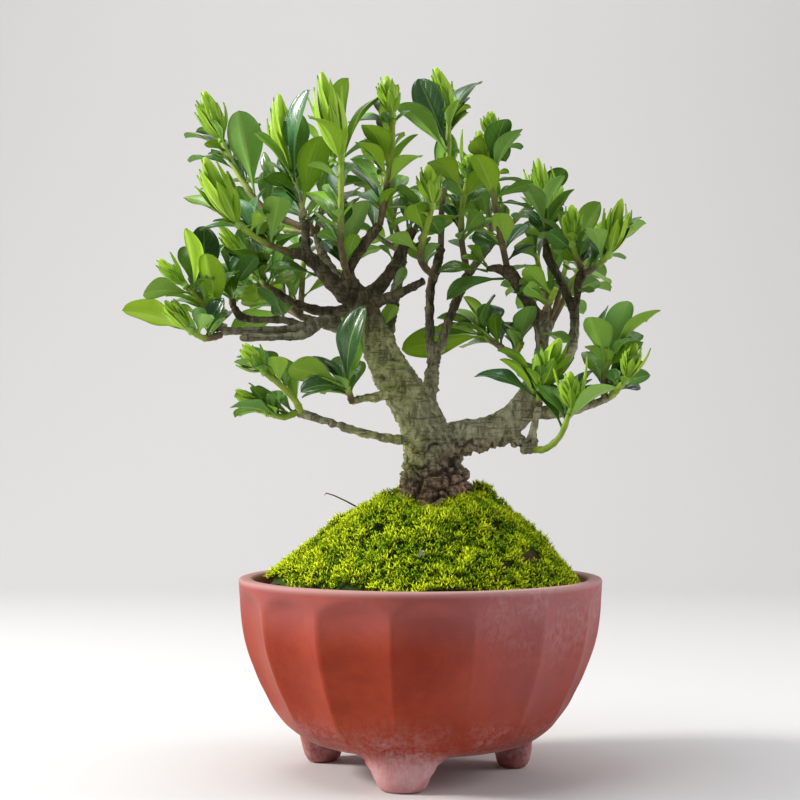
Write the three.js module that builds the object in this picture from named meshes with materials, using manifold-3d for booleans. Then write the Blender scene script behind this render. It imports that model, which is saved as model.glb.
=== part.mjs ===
// A potted gardenia grown as a miniature tree: clay bowl, soil, moss, wood, leafy shoots and new growth.
// Millimetres, +Z up. Lists give a point as [x, z, depth]: x and z as they appear in the plane of the
// bowl's axis to an eye in front of it, and depth as the distance behind that plane.
import * as THREE from "three";
import { mergeVertices } from "three/addons/utils/BufferGeometryUtils.js";
import Module from "manifold-3d";

const wasm = await Module();
wasm.setup();

const EYE_DISTANCE = 900;
const EYE_HEIGHT = 169.5;

const GAP = 0.35;
const LEAF_GAP = 0.3;
const TOUCH_VOLUME = 0.01;

const BOWL_SIDES = 60;
const FLUTES = 15;
const FLUTE_DEPTH = 3.3;
const FLUTE_TURN = THREE.MathUtils.degToRad(-8.3);
const FLUTE_TOP = 93.5;
const FLUTE_ARCH = 5;
const FLUTE_FULL = [84, 46];
const FLUTE_FADE = 17;
const OUTER_ROWS = 11;
const TRUNK_X = 9;
const HOLE_RADIUS = 21;
const SHIFT_ABOVE = 85;
const MOUND_SIDES = 30;
const MOUND_EDGE = 77;
const BLADE_HALF_THICKNESS = 0.55;
const BLADE_FOLD = 0.3;
const FOLDED_FROM = 0.2;
const STALK_HALF_WIDTH = 0.75;

// Bowl section, radius and height, from the drain hole round the outside and back along the inside.
const BOWL_SECTION = [
  [8, 15], [40, 14.5], [52, 16], [62, 21], [70, 28.5], [77, 40], [83, 53], [87.5, 66.5], [89.4, 79],
  [89.9, 87], [90.1, 93], [90.3, 95.8], [89.3, 96.8], [84.2, 96.8], [83, 95.6],
  [82.6, 84], [77, 52], [62, 28], [45, 21], [8, 21],
];
// Feet: place on the ground, the way each points, and the foot's half widths across and along that way.
const FEET = [
  { at: [-8.5, -51.5], turn: -99.4 },
  { at: [-50, 30], turn: 149 },
  { at: [47, 16], turn: 19 },
];
const FOOT_SIDES = 12;
const FOOT_RINGS = [
  { height: 0, across: 8.6, along: 5.6, lean: -0.4 },
  { height: 1.6, across: 10.8, along: 7.2, lean: -0.4 },
  { height: 7, across: 13.8, along: 8.2, lean: 0 },
  { height: 13, across: 17.5, along: 8.8, lean: -0.8 },
  { height: 17.5, across: 20.5, along: 8.6, lean: -3 },
];
const MOUND = [[HOLE_RADIUS, 131.5], [35, 125], [51, 113.5], [66, 100.5], [MOUND_EDGE, 91.5]];
// Soil: the floor of the trunk's hole, the soil's rim, and its sides, which follow the bowl's inside.
const HOLE_FLOOR = 104;
const AXIS_RADIUS = 0.01;
const SOIL_RIM = [81.4, 89.5];
const SOIL_SIDE = [[81.6, 84], [76.2, 52], [61.3, 28.8], [44.7, 21.7]];
const SOIL_FLOOR = 21.7;
const MOSS_THICKNESS = [5.4, 5.4, 5.2, 4.8, 3.2];
// Moss between two rings of its section stands this much higher than their mean.
const MOSS_SWELL = 0.6;
const LUMP_HEIGHT = 0.8;
// Swells of the moss: wavelengths across and back, and how far each line of swells bends.
const SWELL_ACROSS = { length: 7.1, bend: 1.6, bendLength: 11 };
const SWELL_BACK = { length: 6.3, bend: 1.4, bendLength: 9 };
const SLANTED_SWELL = { share: 0.7, length: 4.2 };

const FINISHES = {
  clay: { color: "#9a4a34", roughness: 0.85 },
  soil: { color: "#2c221a", roughness: 0.95 },
  moss: { color: "#5c6a1e", roughness: 0.95 },
  bark: { color: "#5b4636", roughness: 0.9 },
  leaf: { color: "#3f6b22", roughness: 0.4 },
  shoot: { color: "#9cc41c", roughness: 0.45 },
};

// Sides of a run of wood: the least radius at its foot, and the sides that it then has.
const WOOD_SIDES = [[9.6, 10], [6.8, 8], [0, 5]];
// A run with more points than this gets a step or two more, so that it bends smoothly.
const LONG_RUN = 6;
// Wood: each run has its points and the radii along it.
const WOOD = [
  { points: [[9, 104.4, 0], [8.9, 122, 0], [8.2, 137, 0], [7, 150, 0]], radii: [20, 20, 18.6, 15.8] },
  {
    points: [[7.6, 142, 0], [5, 160.5, 0], [2.2, 170, 1], [-2, 180, 2], [-9.8, 191.5, 2],
      [-17.8, 205.5, 3], [-23, 218, 3], [-28, 230, 4], [-31.5, 239, 4]],
    radii: [16.6, 13.4, 12, 11.2, 10.6, 9.2, 7.9, 7.5, 6.6],
  },
  {
    points: [[10, 161, 0], [18, 165.5, -2], [30, 167.5, -5], [42.5, 172.5, -8], [52, 182, -9],
      [57, 194, -8], [60.5, 206, -5], [61, 214, -4], [58.5, 226, -2], [53, 236, 0], [47.5, 245.5, 2],
      [43.5, 251.5, 3]],
    radii: [9.5, 8.7, 8.3, 7.9, 7, 5, 3.7, 3.3, 3.1, 3.1, 3.3, 2.9],
  },
  { points: [[46, 246.5, 2], [40, 250.5, 2], [33, 250.8, 3]], radii: [3, 2.5, 1.5] },
  { points: [[61, 213, -5], [62, 222, -10], [62.3, 229.5, -14]], radii: [2.9, 2.4, 2.5] },
  {
    points: [[55, 188, -6], [66, 197, 6], [75, 209, 15], [77.3, 221, 18], [77, 231, 18]],
    radii: [4.2, 3.4, 3, 2.5, 2.6],
  },
  {
    points: [[77, 229, 18], [72, 241, 20], [68, 249, 20], [64, 256.5, 18], [63, 263, 18]],
    radii: [2.4, 2.2, 2.3, 2.5, 2],
  },
  {
    points: [[77, 229, 18], [78.7, 237, 16], [79.5, 244.5, 12], [82, 249.5, 10]],
    radii: [2.3, 1.9, 2.5, 2.8],
  },
  {
    points: [[52, 179, -9], [71.5, 179, -18], [85, 182.5, -20], [96, 187, -20]],
    radii: [4.2, 2.7, 2, 1.9],
  },
  { points: [[44, 171, -8], [51, 163, -14], [57, 160.5, -18]], radii: [4.4, 3, 2.9] },
  { points: [[55, 161, -17], [57.3, 173, -22], [59.5, 182.5, -24]], radii: [2.6, 1.9, 1.8] },
  {
    points: [[57, 195, -6], [53, 201.5, 2], [46, 208, 12], [42.5, 210, 18]],
    radii: [2.8, 2.1, 2.4, 1.9],
  },
  { points: [[0, 180, 6], [4.5, 190, 14], [6.3, 200, 17], [7, 207, 18]], radii: [6, 4.6, 3.2, 3.6] },
  {
    points: [[6.6, 204, 18], [5, 213.5, 20], [4.8, 229, 22], [5.5, 242, 24], [8, 250, 24],
      [10.5, 262, 24]],
    radii: [3, 2.5, 2.4, 2.3, 2.6, 2.4],
  },
  {
    points: [[7.4, 204, 18], [11.3, 214.5, 20], [15, 226.5, 22], [20.5, 239.5, 24], [24, 248.5, 24]],
    radii: [2.8, 2.3, 2.3, 2.3, 2.4],
  },
  {
    points: [[-29, 233, 4], [-18, 244.5, 4], [-12, 254, 2], [-7.5, 263, 0], [-3.5, 271, -2]],
    radii: [5.2, 3.4, 2.7, 2.9, 2.6],
  },
  {
    points: [[-25, 233, 2], [-14, 237, -8], [-4, 241.5, -12], [2.5, 245, -14]],
    radii: [3.8, 2.4, 2.1, 1.8],
  },
  {
    points: [[-31, 237, 4], [-36, 249, -2], [-29.5, 260.5, -8], [-20, 273, -12]],
    radii: [4.6, 3.1, 2.6, 2.6],
  },
  {
    points: [[-31, 234, 4], [-44.5, 244.5, 2], [-51, 252, 0], [-58, 258, -2], [-65, 258.5, -4]],
    radii: [6, 4.1, 3.6, 3.4, 2.8],
  },
  { points: [[-57, 256, -1], [-57.3, 266, 0], [-57.5, 275.5, 0]], radii: [3, 2.4, 2.1] },
  {
    points: [[-28, 228, 3], [-50, 229.5, 10], [-64.5, 234.5, 12], [-74, 240.5, 12]],
    radii: [4.8, 2.7, 2.1, 2],
  },
  {
    points: [[-26, 225, 2], [-37.5, 225, -4], [-51.5, 223.8, -10], [-63, 220.7, -14],
      [-87, 219.8, -18], [-100, 219.5, -20]],
    radii: [5, 3.6, 2.9, 2.2, 1.9, 2.3],
  },
  {
    points: [[-51, 222.5, -9], [-59, 217.5, -18], [-72, 216.6, -22], [-90.5, 216, -24]],
    radii: [2.6, 2.3, 1.8, 1.9],
  },
  {
    points: [[-59, 222, -11], [-68, 225, -8], [-83, 225.2, -6], [-90, 227, -6], [-93.5, 232, -6]],
    radii: [2.4, 1.9, 1.9, 2.3, 1.8],
  },
  {
    points: [[0, 165, -4], [-17, 166, -14], [-36.5, 171, -18], [-49, 175, -20], [-61.5, 179, -22]],
    radii: [3, 2.2, 1.9, 2, 2.5],
  },
  {
    points: [[-8, 189, -2], [-20, 187, -14], [-30, 185.5, -18], [-34, 184, -20]],
    radii: [3.2, 2.4, 1.9, 1.9],
  },
  {
    points: [[-27, 231, 6], [-40, 244, 26], [-48, 256, 42], [-52, 268, 50]],
    radii: [4.8, 3.4, 2.8, 2],
  },
  { points: [[-17, 206, 6], [-16, 222, 28], [-12, 240, 44], [-8, 258, 54]], radii: [5, 3.8, 3, 2.1] },
  { points: [[13, 221, 21], [19.5, 238, 36], [27, 252, 46], [36, 263, 52]], radii: [2, 2.3, 2.2, 1.9] },
  { points: [[58, 195, -6], [60, 206, 20], [62, 216, 36], [66, 224, 50]], radii: [4, 3.2, 2.7, 2] },
  {
    points: [[-16, 203, 4], [-32, 217, 26], [-48, 223, 40], [-60, 227, 50]],
    radii: [4.6, 3.4, 2.6, 2],
  },
];

// Shoots seen from the front. stem: points from the wood to the tip. bud: tip of the new growth, its width
// and further tips. leaves: tip x, tip z, base x, base z, width as seen and the side that shows, t for the
// glossy upper side and u for the paler underside.
const SHOOTS = [
  {
    stem: [[-57.5, 271, 0], [-78, 281, 10], [-92, 300, 20], [-99, 314, 26]],
    bud: { tip: [-108.5, 340.5], width: 9.5, more: [[-112, 330.5], [-98, 334.5]] },
    leaves: [[-91, 330.5, -85.5, 286, 18, "u"], [-117, 319, -98, 303, 5, "t"],
      [-115.5, 306.5, -96.5, 298, 5, "t"], [-82, 324, -84, 294, 5, "t"]],
  },
  {
    stem: [[-63, 258, -6], [-78, 264, -20], [-90, 272, -28]],
    bud: { tip: [-108.5, 307], width: 11, more: [[-111.5, 294], [-96.5, 300]] },
    leaves: [[-118.5, 286, -91, 272, 7.5, "t"], [-134.5, 294, -104, 284, 7.5, "u"],
      [-79.5, 291, -80, 270, 7.5, "t"], [-70.5, 288.5, -75.5, 262, 13, "u"],
      [-87.5, 266.5, -74, 258.5, 5, "t"], [-92.5, 287, -84, 268, 8, "t"]],
  },
  {
    stem: [[-57.5, 275.5, 0], [-60.5, 286, 12], [-63.5, 297, 20]],
    bud: { tip: [-71, 339], width: 10, more: [[-77.5, 326]] },
    leaves: [[-83.5, 318.5, -63.5, 294, 5, "t"], [-75, 305, -61, 284, 7, "t"],
      [-56.5, 341, -60.5, 300, 8.5, "t"], [-77, 298, -66, 286, 8, "u"], [-50, 300, -60, 281, 9, "t"],
      [-74, 288, -59.5, 277, 8, "t"], [-49.5, 318, -59, 280, 15, "u"]],
  },
  {
    stem: [[-36, 246, -2], [-39.5, 262, -24], [-39.5, 285, -36], [-39.5, 304, -42]],
    bud: { tip: [-49.5, 350], width: 9.5, more: [[-43, 343]] },
    leaves: [[-36.5, 346.5, -37.5, 320, 9, "u"], [-27, 342, -36, 307, 12.5, "u"],
      [-20.5, 338.5, -35, 304.5, 6, "t"], [-46.5, 294, -43.5, 278.5, 8.5, "t"],
      [-39, 286.5, -39.5, 269, 6, "t"], [-28, 285.5, -39, 252, 10, "u"],
      [-48.5, 264.5, -40, 249.5, 8.5, "t"], [-22, 262.5, -38, 246.5, 4.5, "u"],
      [-55, 290, -40, 270, 10, "t"], [-53, 330, -40, 305, 8.5, "u"], [-51.5, 269.5, -42, 263, 6, "u"]],
  },
  {
    stem: [[-20, 273, -12], [-17, 290, -22], [-14.5, 308, -28], [-13.5, 326, -32]],
    bud: { tip: [-17, 348], width: 8, more: [] },
    leaves: [[-13, 343, -13.5, 309, 8, "u"], [-36.5, 303.5, -21, 283, 9, "t"],
      [-27.5, 303.5, -14, 296, 8, "t"], [-8, 298.5, -14, 280, 10.5, "t"],
      [-8.5, 318.5, -13, 299, 4, "t"], [-26.5, 324.5, -14, 300, 11, "u"], [-31, 315, -15, 296, 6, "u"],
      [-0.5, 309.5, -14, 291, 6, "u"], [-13, 292.5, -20.5, 276.5, 6, "u"]],
  },
  {
    stem: [[10.5, 262, 24], [11, 281, 30], [14, 303, 34], [14.5, 326, 36]],
    bud: { tip: [8, 352], width: 9, more: [[2.5, 341.5], [15, 345]] },
    leaves: [[-1, 346, 9.5, 311, 16, "t"], [-10.5, 334.5, 11, 308, 10, "u"],
      [-1.5, 337.5, 13, 316, 5.5, "t"], [29, 346.5, 15, 319.5, 9, "t"], [19.5, 335, 15.5, 318, 5, "u"]],
  },
  {
    stem: [[43.5, 251.5, 3], [38.5, 277.5, -10], [36, 298, -18], [35.5, 314, -22]],
    bud: { tip: [35.5, 330], width: 8, more: [] },
    leaves: [[42.5, 325.5, 37, 300, 12, "u"], [50, 321, 38, 297, 7, "u"],
      [26.5, 316.5, 35, 303, 9.5, "u"], [28, 308.5, 37.5, 280, 11, "u"], [49, 292, 38, 285, 4.5, "t"],
      [40, 279, 42, 258, 10.5, "u"], [53, 272.5, 41.5, 259, 7.5, "t"], [57, 261.5, 42.5, 254, 5, "t"],
      [27, 268, 41, 262, 9, "t"]],
  },
  {
    stem: [[24, 248.5, 24], [21, 264, 14], [21, 280, 6], [23.5, 294, 2]],
    bud: { tip: [25, 308.5], width: 7.5, more: [[22.5, 321]] },
    leaves: [[6, 307, 22.5, 287, 11, "u"], [31.5, 299.5, 23, 285, 8, "u"],
      [34.5, 292, 22.5, 280, 7, "t"], [30.5, 280, 21, 267, 9.5, "u"], [37.5, 276, 21, 264, 7, "t"],
      [13, 283, 21, 267, 8, "t"], [34, 264, 22.5, 255, 8.5, "t"]],
  },
  {
    stem: [[7.5, 246, 22], [0, 256, 0], [3, 270, -16], [6, 281, -24]],
    bud: { tip: [4, 303], width: 9, more: [[9, 301]] },
    leaves: [[13, 292.5, 6, 279, 5, "t"], [-2.5, 283, 4, 268.5, 13, "u"],
      [-2.5, 263.5, 1, 249, 11, "u"], [-20.5, 262.5, -1, 257.5, 7, "t"], [4.5, 271, 2, 258, 5, "t"],
      [-16.5, 268, 0, 258.5, 7, "u"], [-8, 291, 4, 276, 9, "t"]],
  },
  {
    stem: [[63, 262, 18], [63, 267, 24], [63, 273, 30]],
    bud: { tip: [59, 306.5], width: 8, more: [[53, 301], [66, 302]] },
    leaves: [[50.5, 295.5, 62, 271, 8, "u"], [70, 298, 63.5, 271, 8, "u"],
      [52, 280, 62, 270, 5.5, "t"], [76, 302, 64, 268, 9, "t"], [77, 289.5, 64, 270, 6, "u"],
      [57, 290, 62.5, 268.5, 8, "t"]],
  },
  {
    stem: [[81.4, 249.5, 11], [78.5, 256, 5], [76.5, 262, 0]],
    bud: { tip: [76, 283], width: 8, more: [[70.5, 279]] },
    leaves: [[90, 284, 78, 262, 11, "u"], [64, 269.5, 77.5, 259.5, 9, "u"],
      [60.5, 271.5, 78, 255, 8, "t"], [73, 261, 79.5, 252.5, 9.5, "u"], [82.5, 264, 79, 255, 6, "u"],
      [87.5, 263, 80, 253, 8, "t"], [87, 282.5, 79, 264, 6, "u"]],
  },
  {
    stem: [[82.8, 248.3, 9], [88.5, 252, -6], [94, 257, -16]],
    bud: { tip: [101, 286], width: 8, more: [[93, 281], [106, 280]] },
    leaves: [[113, 273.5, 93, 256, 5, "u"], [86.5, 273, 91, 254.5, 9, "u"],
      [92, 272.5, 93, 257, 7, "u"], [106, 276.5, 92.5, 256, 8, "t"]],
  },
  {
    stem: [[62.3, 229, -14], [65, 234, -18], [68, 241, -22]],
    bud: null,
    leaves: [[52.5, 243, 65.5, 233, 8, "u"], [52.5, 250.5, 67, 238, 9, "u"]],
  },
  {
    stem: [[46, 208, 12], [48.5, 209.3, 4], [51, 213.5, -2]],
    bud: null,
    leaves: [[56, 231.5, 50.5, 212.5, 10.5, "u"], [44.5, 221.5, 50.5, 213, 6, "t"]],
  },
  {
    stem: [[42.5, 210, 18], [36, 214.5, 26], [29.5, 219.5, 32]],
    bud: null,
    leaves: [[-9, 210.5, 28, 218.5, 16, "u"], [36.5, 233.5, 33.5, 216, 13, "t"],
      [37, 237.5, 31.5, 219, 3.5, "u"], [22.5, 237, 29.5, 220, 5, "u"], [15, 230.5, 28.5, 220, 6, "t"]],
  },
  {
    stem: [[92, 185, -20], [92, 197, -24], [95.5, 208, -28]],
    bud: null,
    leaves: [[86, 226.5, 92, 200, 12, "u"], [104, 234, 95.5, 207, 13, "u"],
      [93, 231.5, 95.5, 206, 5, "t"], [120, 230, 95, 205.5, 6, "u"], [103.5, 212, 93, 201, 8, "u"],
      [112, 227, 94.5, 204, 6, "t"]],
  },
  {
    stem: [[95.5, 187, -20], [98, 189.5, -32], [102, 194, -36]],
    bud: { tip: [108, 213.5], width: 7.5, more: [[115, 211]] },
    leaves: [[114.5, 198, 100, 191.5, 7, "u"], [95, 200, 99.5, 191, 7, "t"],
      [110, 192.5, 98.5, 190, 6, "t"]],
  },
  {
    stem: [[57.5, 160, -20], [63.5, 161, -32], [70, 167, -38], [74.5, 178, -40]],
    bud: { tip: [75, 199.5], width: 8.5, more: [[81, 207], [68, 201.5]] },
    leaves: [[59, 193, 73, 174.5, 8, "t"], [85.5, 200.5, 74.5, 174, 7, "t"],
      [100, 201, 74, 173.5, 8, "t"], [97, 192.5, 73.5, 172.5, 8, "u"]],
  },
  {
    stem: [[59.5, 182.5, -24], [59.3, 185, -26], [59.8, 188.5, -28]],
    bud: { tip: [70, 216], width: 14, more: [[76.5, 207], [61.5, 208]] },
    leaves: [[28, 199.5, 59, 185.5, 7.5, "t"], [53, 204.5, 59.3, 186.5, 7, "t"]],
  },
  {
    stem: [[-22, 216.5, 8], [-17.5, 221.5, 16]],
    bud: null,
    leaves: [[-12, 232.5, -17, 221.5, 6, "u"]],
  },
  {
    stem: [[-100.5, 219.5, -20], [-104, 226, -20], [-111, 235.5, -22], [-116.5, 241, -22]],
    bud: { tip: [-131, 256], width: 7, more: [[-126, 259]] },
    leaves: [[-118, 271, -114, 239, 9, "u"], [-108.5, 272, -109, 234, 14, "t"],
      [-107.5, 258, -101, 224, 13.5, "u"], [-138, 239, -114, 238, 9.5, "u"],
      [-92, 250, -106, 229, 9, "t"], [-123.7, 236, -106, 228, 6, "t"], [-99, 262, -108, 236, 9, "t"]],
  },
  {
    stem: [[-100, 217.5, -20], [-108, 216, -30], [-114, 219, -34]],
    bud: { tip: [-128, 235], width: 7, more: [[-123, 236]] },
    leaves: [[-149, 230.5, -113, 218.5, 11, "u"], [-126, 224, -108, 216, 8, "t"],
      [-98, 236, -107, 216.5, 9, "t"]],
  },
  {
    stem: [[-93.5, 232, -6], [-94.5, 237, 4], [-95, 243, 12]],
    bud: null,
    leaves: [[-98, 263, -95, 243, 8, "t"], [-89, 262, -95, 242, 8, "t"],
      [-82, 257, -94.5, 240, 9, "u"], [-80, 240, -94, 235, 9, "u"], [-105, 250, -95, 242, 9, "u"]],
  },
  {
    stem: [[-74, 240.5, 12], [-78, 243, 20], [-82, 247, 28]],
    bud: { tip: [-101, 274], width: 7, more: [[-96, 262]] },
    leaves: [[-66, 262, -77, 242.5, 12, "u"], [-74, 266, -81, 246, 10, "t"],
      [-92, 262, -82, 247, 9, "u"], [-63, 248, -76, 242, 8, "t"], [-67, 228, -75.5, 241, 12, "t"]],
  },
  {
    stem: [[-59.3, 178.6, -22], [-63, 185.5, -32], [-71, 193.5, -38], [-77, 198, -40]],
    bud: { tip: [-88, 213.5], width: 8, more: [[-80, 213], [-92, 203.5]] },
    leaves: [[-71.5, 207, -70, 192.5, 9.5, "u"]],
  },
  {
    stem: [[-61.5, 179, -22], [-68, 176.5, -24], [-75, 178, -24]],
    bud: { tip: [-92, 190.5], width: 7.5, more: [[-86, 193.5], [-83, 191.5]] },
    leaves: [[-72, 190.5, -73, 177.5, 7, "t"], [-94, 181, -73, 177.5, 6, "u"]],
  },
  {
    stem: [[-34, 184, -20], [-35.5, 189, -24], [-38, 193.5, -26]],
    bud: null,
    leaves: [[-66, 202.5, -38, 193.5, 13, "u"], [-36.5, 227, -38, 193, 9, "u"],
      [-30.5, 231.5, -37, 192.5, 12, "t"], [-59, 190.5, -36.5, 191.5, 7, "t"],
      [-54, 190, -35.5, 189.5, 6, "t"]],
  },
];

// Shoots on the far side, grown by rule: where each leaves the wood, the tips of its forks, how many pairs
// of leaves each fork carries and whether its first fork ends in new growth.
const FAR_SHOOTS = [
  { foot: [-52, 268, 50], forks: [[-44, 304, 60], [-68, 292, 52], [-74, 272, 72]], pairs: 2, grows: true },
  { foot: [-8, 258, 54], forks: [[-20, 298, 60], [8, 294, 70], [-26, 270, 82]], pairs: 2, grows: true },
  { foot: [36, 263, 52], forks: [[32, 300, 56], [58, 286, 64], [20, 282, 80]], pairs: 2, grows: true },
  { foot: [66, 224, 50], forks: [[84, 258, 52], [58, 258, 66], [74, 256, 78]], pairs: 2, grows: true },
  { foot: [-60, 227, 50], forks: [[-84, 250, 52], [-58, 258, 66], [-80, 238, 76]], pairs: 2, grows: false },
];
// A leaf starts no lower on a stretch of stem than this share of it.
const LOWEST_ROOT = 0.08;
// A leaf that looks short leans toward or away from the eye: its true length, and the least and most that
// this adds. Its width is never a smaller share of its length than the fourth value, and a leaf that looks
// narrower is turned about its length until it does, with its upper side to the sky.
const TRUE_LENGTH = 36;
const LEAST_STRETCH = 1.03;
const MOST_STRETCH = 1.35;
const LEAST_WIDTH = 0.39;
const TOWARD_EYE = new THREE.Vector3(0, -1, 0);
const FROM_EYE = new THREE.Vector3(0, 1, 0);
const FAR_LEAF_LENGTH = [26, 34];
const FAR_LEAF_WIDTH = 0.42;
const FAR_BUD_LENGTH = 22;
const FAR_BUD_WIDTH = 8;
const FAR_PAIRS = [0.3, 0.6];
const FAR_LIFT = [0.5, 0.95];
const FAR_SWING = 0.3;
const FAR_LEAF_START = 0.8;
// The leaf that ends a fork starts at this share of the fork.
const LAST_LEAF_START = 0.95;

const ROOT_TO_END = 4;
const SMALLEST_STEP = 0.1;
const BOWL_STEP = 0.2;
const WOOD_STEP = 0.15;
const SHORTEST_EDGE = 0.08;
const TOLERANCE = 0.02;
const STEM_RADII = [1.7, 1.35];
const STEM_SIDES = 4;
// Points nearer than this are one point.
const SAME_PLACE = 1e-4;
// Share of depth in the line across a tube from which its sides are counted.
const SIDE_TILT = 0.3;
const BEND_STEPS = [0, 3, -3, 6, -6, 9, -9, 13, -13, 17, -17, 22, -22, 28, -28];

let seed = 20281;
function draw(low, high) {
  seed = (Math.imul(seed, 1664525) + 1013904223) >>> 0;
  return low + ((high - low) * seed) / 4294967296;
}

function seen(x, z, depth) {
  const spread = 1 + depth / EYE_DISTANCE;
  return new THREE.Vector3(x * spread, depth, EYE_HEIGHT + (z - EYE_HEIGHT) * spread);
}

function toSolid(geometry) {
  const plain = geometry.clone();
  plain.deleteAttribute("normal");
  plain.deleteAttribute("uv");
  const merged = mergeVertices(plain, SAME_PLACE);
  const vertProperties = Float32Array.from(merged.attributes.position.array);
  const triVerts = Uint32Array.from(merged.index.array);
  const made = new wasm.Manifold(new wasm.Mesh({ numProp: 3, vertProperties, triVerts }));
  if (made.volume() > 0) return made;
  for (let i = 0; i < triVerts.length; i += 3) triVerts.subarray(i, i + 3).reverse();
  return new wasm.Manifold(new wasm.Mesh({ numProp: 3, vertProperties, triVerts }));
}

// A closed skin over rings of points, ended by a flat cap or drawn to a tip. Opposite sides of a blade get
// their diagonals between the same two ends, so both faces bend alike.
function skin(rings, tip) {
  const sides = rings[0].length;
  const points = rings.flat();
  const index = [];
  for (let ring = 0; ring < rings.length - 1; ring += 1) {
    for (let side = 0; side < sides; side += 1) {
      const a = ring * sides + side;
      const b = ring * sides + ((side + 1) % sides);
      if (side % 2 === 0) index.push(a, b, b + sides, a, b + sides, a + sides);
      else index.push(a, b, a + sides, b, b + sides, a + sides);
    }
  }
  for (let side = 1; side < sides - 1; side += 1) index.push(0, side + 1, side);
  const last = (rings.length - 1) * sides;
  if (tip) {
    points.push(tip);
    for (let side = 0; side < sides; side += 1) {
      index.push(last + side, last + ((side + 1) % sides), points.length - 1);
    }
  } else {
    for (let side = 1; side < sides - 1; side += 1) index.push(last, last + side, last + side + 1);
  }
  const geometry = new THREE.BufferGeometry().setFromPoints(points);
  geometry.setIndex(index);
  return toSolid(geometry);
}

function pickAlong(values, share) {
  const place = share * (values.length - 1);
  const from = Math.min(Math.floor(place), values.length - 2);
  return THREE.MathUtils.lerp(values[from], values[from + 1], place - from);
}

function tube(points, radii, sides, grow = 0) {
  let across = null;
  const rings = points.map((point, i) => {
    const before = points[Math.max(i - 1, 0)];
    const after = points[Math.min(i + 1, points.length - 1)];
    const along = after.clone().sub(before).normalize();
    if (!across) across = new THREE.Vector3(along.z, SIDE_TILT, -along.x).normalize();
    across = across.clone().sub(along.clone().multiplyScalar(across.dot(along))).normalize();
    const other = along.clone().cross(across);
    const centre = point.clone();
    if (i === 0) centre.addScaledVector(along, -grow);
    if (i === points.length - 1) centre.addScaledVector(along, grow);
    const radius = pickAlong(radii, i / (points.length - 1)) + grow;
    return Array.from({ length: sides }, (_, side) => {
      const turn = (2 * Math.PI * side) / sides;
      const out = across.clone().multiplyScalar(Math.cos(turn) * radius);
      return centre.clone().add(out).addScaledVector(other, Math.sin(turn) * radius);
    });
  });
  return skin(rings, null);
}

function largest(made) {
  return made.decompose().sort((a, b) => b.volume() - a.volume())[0];
}

// The bowl, with its flutes pressed into the outer wall and its three feet.
function bowl() {
  const section = BOWL_SECTION.map(([radius, height]) => new THREE.Vector2(radius, height));
  const wall = new THREE.LatheGeometry([...section, section[0]], BOWL_SIDES, FLUTE_TURN);
  wall.rotateX(Math.PI / 2);
  const place = wall.attributes.position;
  for (let i = 0; i < place.count; i += 1) {
    const row = i % (section.length + 1);
    const height = place.getZ(i);
    const side = Math.floor(i / (section.length + 1));
    const fromMiddle = 2 * (((FLUTES * side) / BOWL_SIDES) % 1) - 1;
    const top = FLUTE_TOP - FLUTE_ARCH * fromMiddle ** 2;
    const above = THREE.MathUtils.smoothstep(top - height, 0, FLUTE_TOP - FLUTE_FULL[0]);
    const below = THREE.MathUtils.smoothstep(height, FLUTE_FADE, FLUTE_FULL[1]);
    const depth = row < OUTER_ROWS ? FLUTE_DEPTH * (1 - fromMiddle ** 2) * above * below : 0;
    const radius = Math.hypot(place.getX(i), place.getY(i));
    place.setX(i, (place.getX(i) * (radius - depth)) / radius);
    place.setY(i, (place.getY(i) * (radius - depth)) / radius);
  }
  const feet = FEET.map(({ at, turn }) => {
    const out = THREE.MathUtils.degToRad(turn);
    const rings = FOOT_RINGS.map((ring) => Array.from({ length: FOOT_SIDES }, (_, i) => {
      const around = (2 * Math.PI * i) / FOOT_SIDES;
      const reach = Math.cos(around) * ring.along + ring.lean;
      const aside = Math.sin(around) * ring.across;
      const x = at[0] + Math.cos(out) * reach - Math.sin(out) * aside;
      const y = at[1] + Math.sin(out) * reach + Math.cos(out) * aside;
      return new THREE.Vector3(x, y, ring.height);
    }));
    return skin(rings, null);
  });
  return wasm.Manifold.union([toSolid(wall), ...feet]);
}

// Rings round the trunk's hole that widen into rings round the bowl's axis.
function mound(section) {
  const closed = [...section, section[0]].map(([radius, height]) => new THREE.Vector2(radius, height));
  const geometry = new THREE.LatheGeometry(closed, MOUND_SIDES);
  geometry.rotateX(Math.PI / 2);
  const place = geometry.attributes.position;
  for (let i = 0; i < place.count; i += 1) {
    const radius = Math.hypot(place.getX(i), place.getY(i));
    const share = THREE.MathUtils.clamp((radius - HOLE_RADIUS) / (MOUND_EDGE - HOLE_RADIUS), 0, 1);
    if (place.getZ(i) > SHIFT_ABOVE) place.setX(i, place.getX(i) + TRUNK_X * (1 - share));
  }
  return geometry;
}

function soil() {
  const middle = [[AXIS_RADIUS, SOIL_FLOOR], [AXIS_RADIUS, HOLE_FLOOR], [HOLE_RADIUS, HOLE_FLOOR]];
  return toSolid(mound([...middle, ...MOUND, SOIL_RIM, ...SOIL_SIDE]));
}

// How far the moss swells or sinks at a place.
function mossLump(x, y) {
  const bendAcross = SWELL_ACROSS.bend * Math.sin(y / SWELL_ACROSS.bendLength);
  const bendBack = SWELL_BACK.bend * Math.sin(x / SWELL_BACK.bendLength + 1);
  const broad = Math.sin(x / SWELL_ACROSS.length + bendAcross) + Math.sin(y / SWELL_BACK.length + bendBack);
  return LUMP_HEIGHT * (broad + SLANTED_SWELL.share * Math.sin((x - y) / SLANTED_SWELL.length));
}

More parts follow.
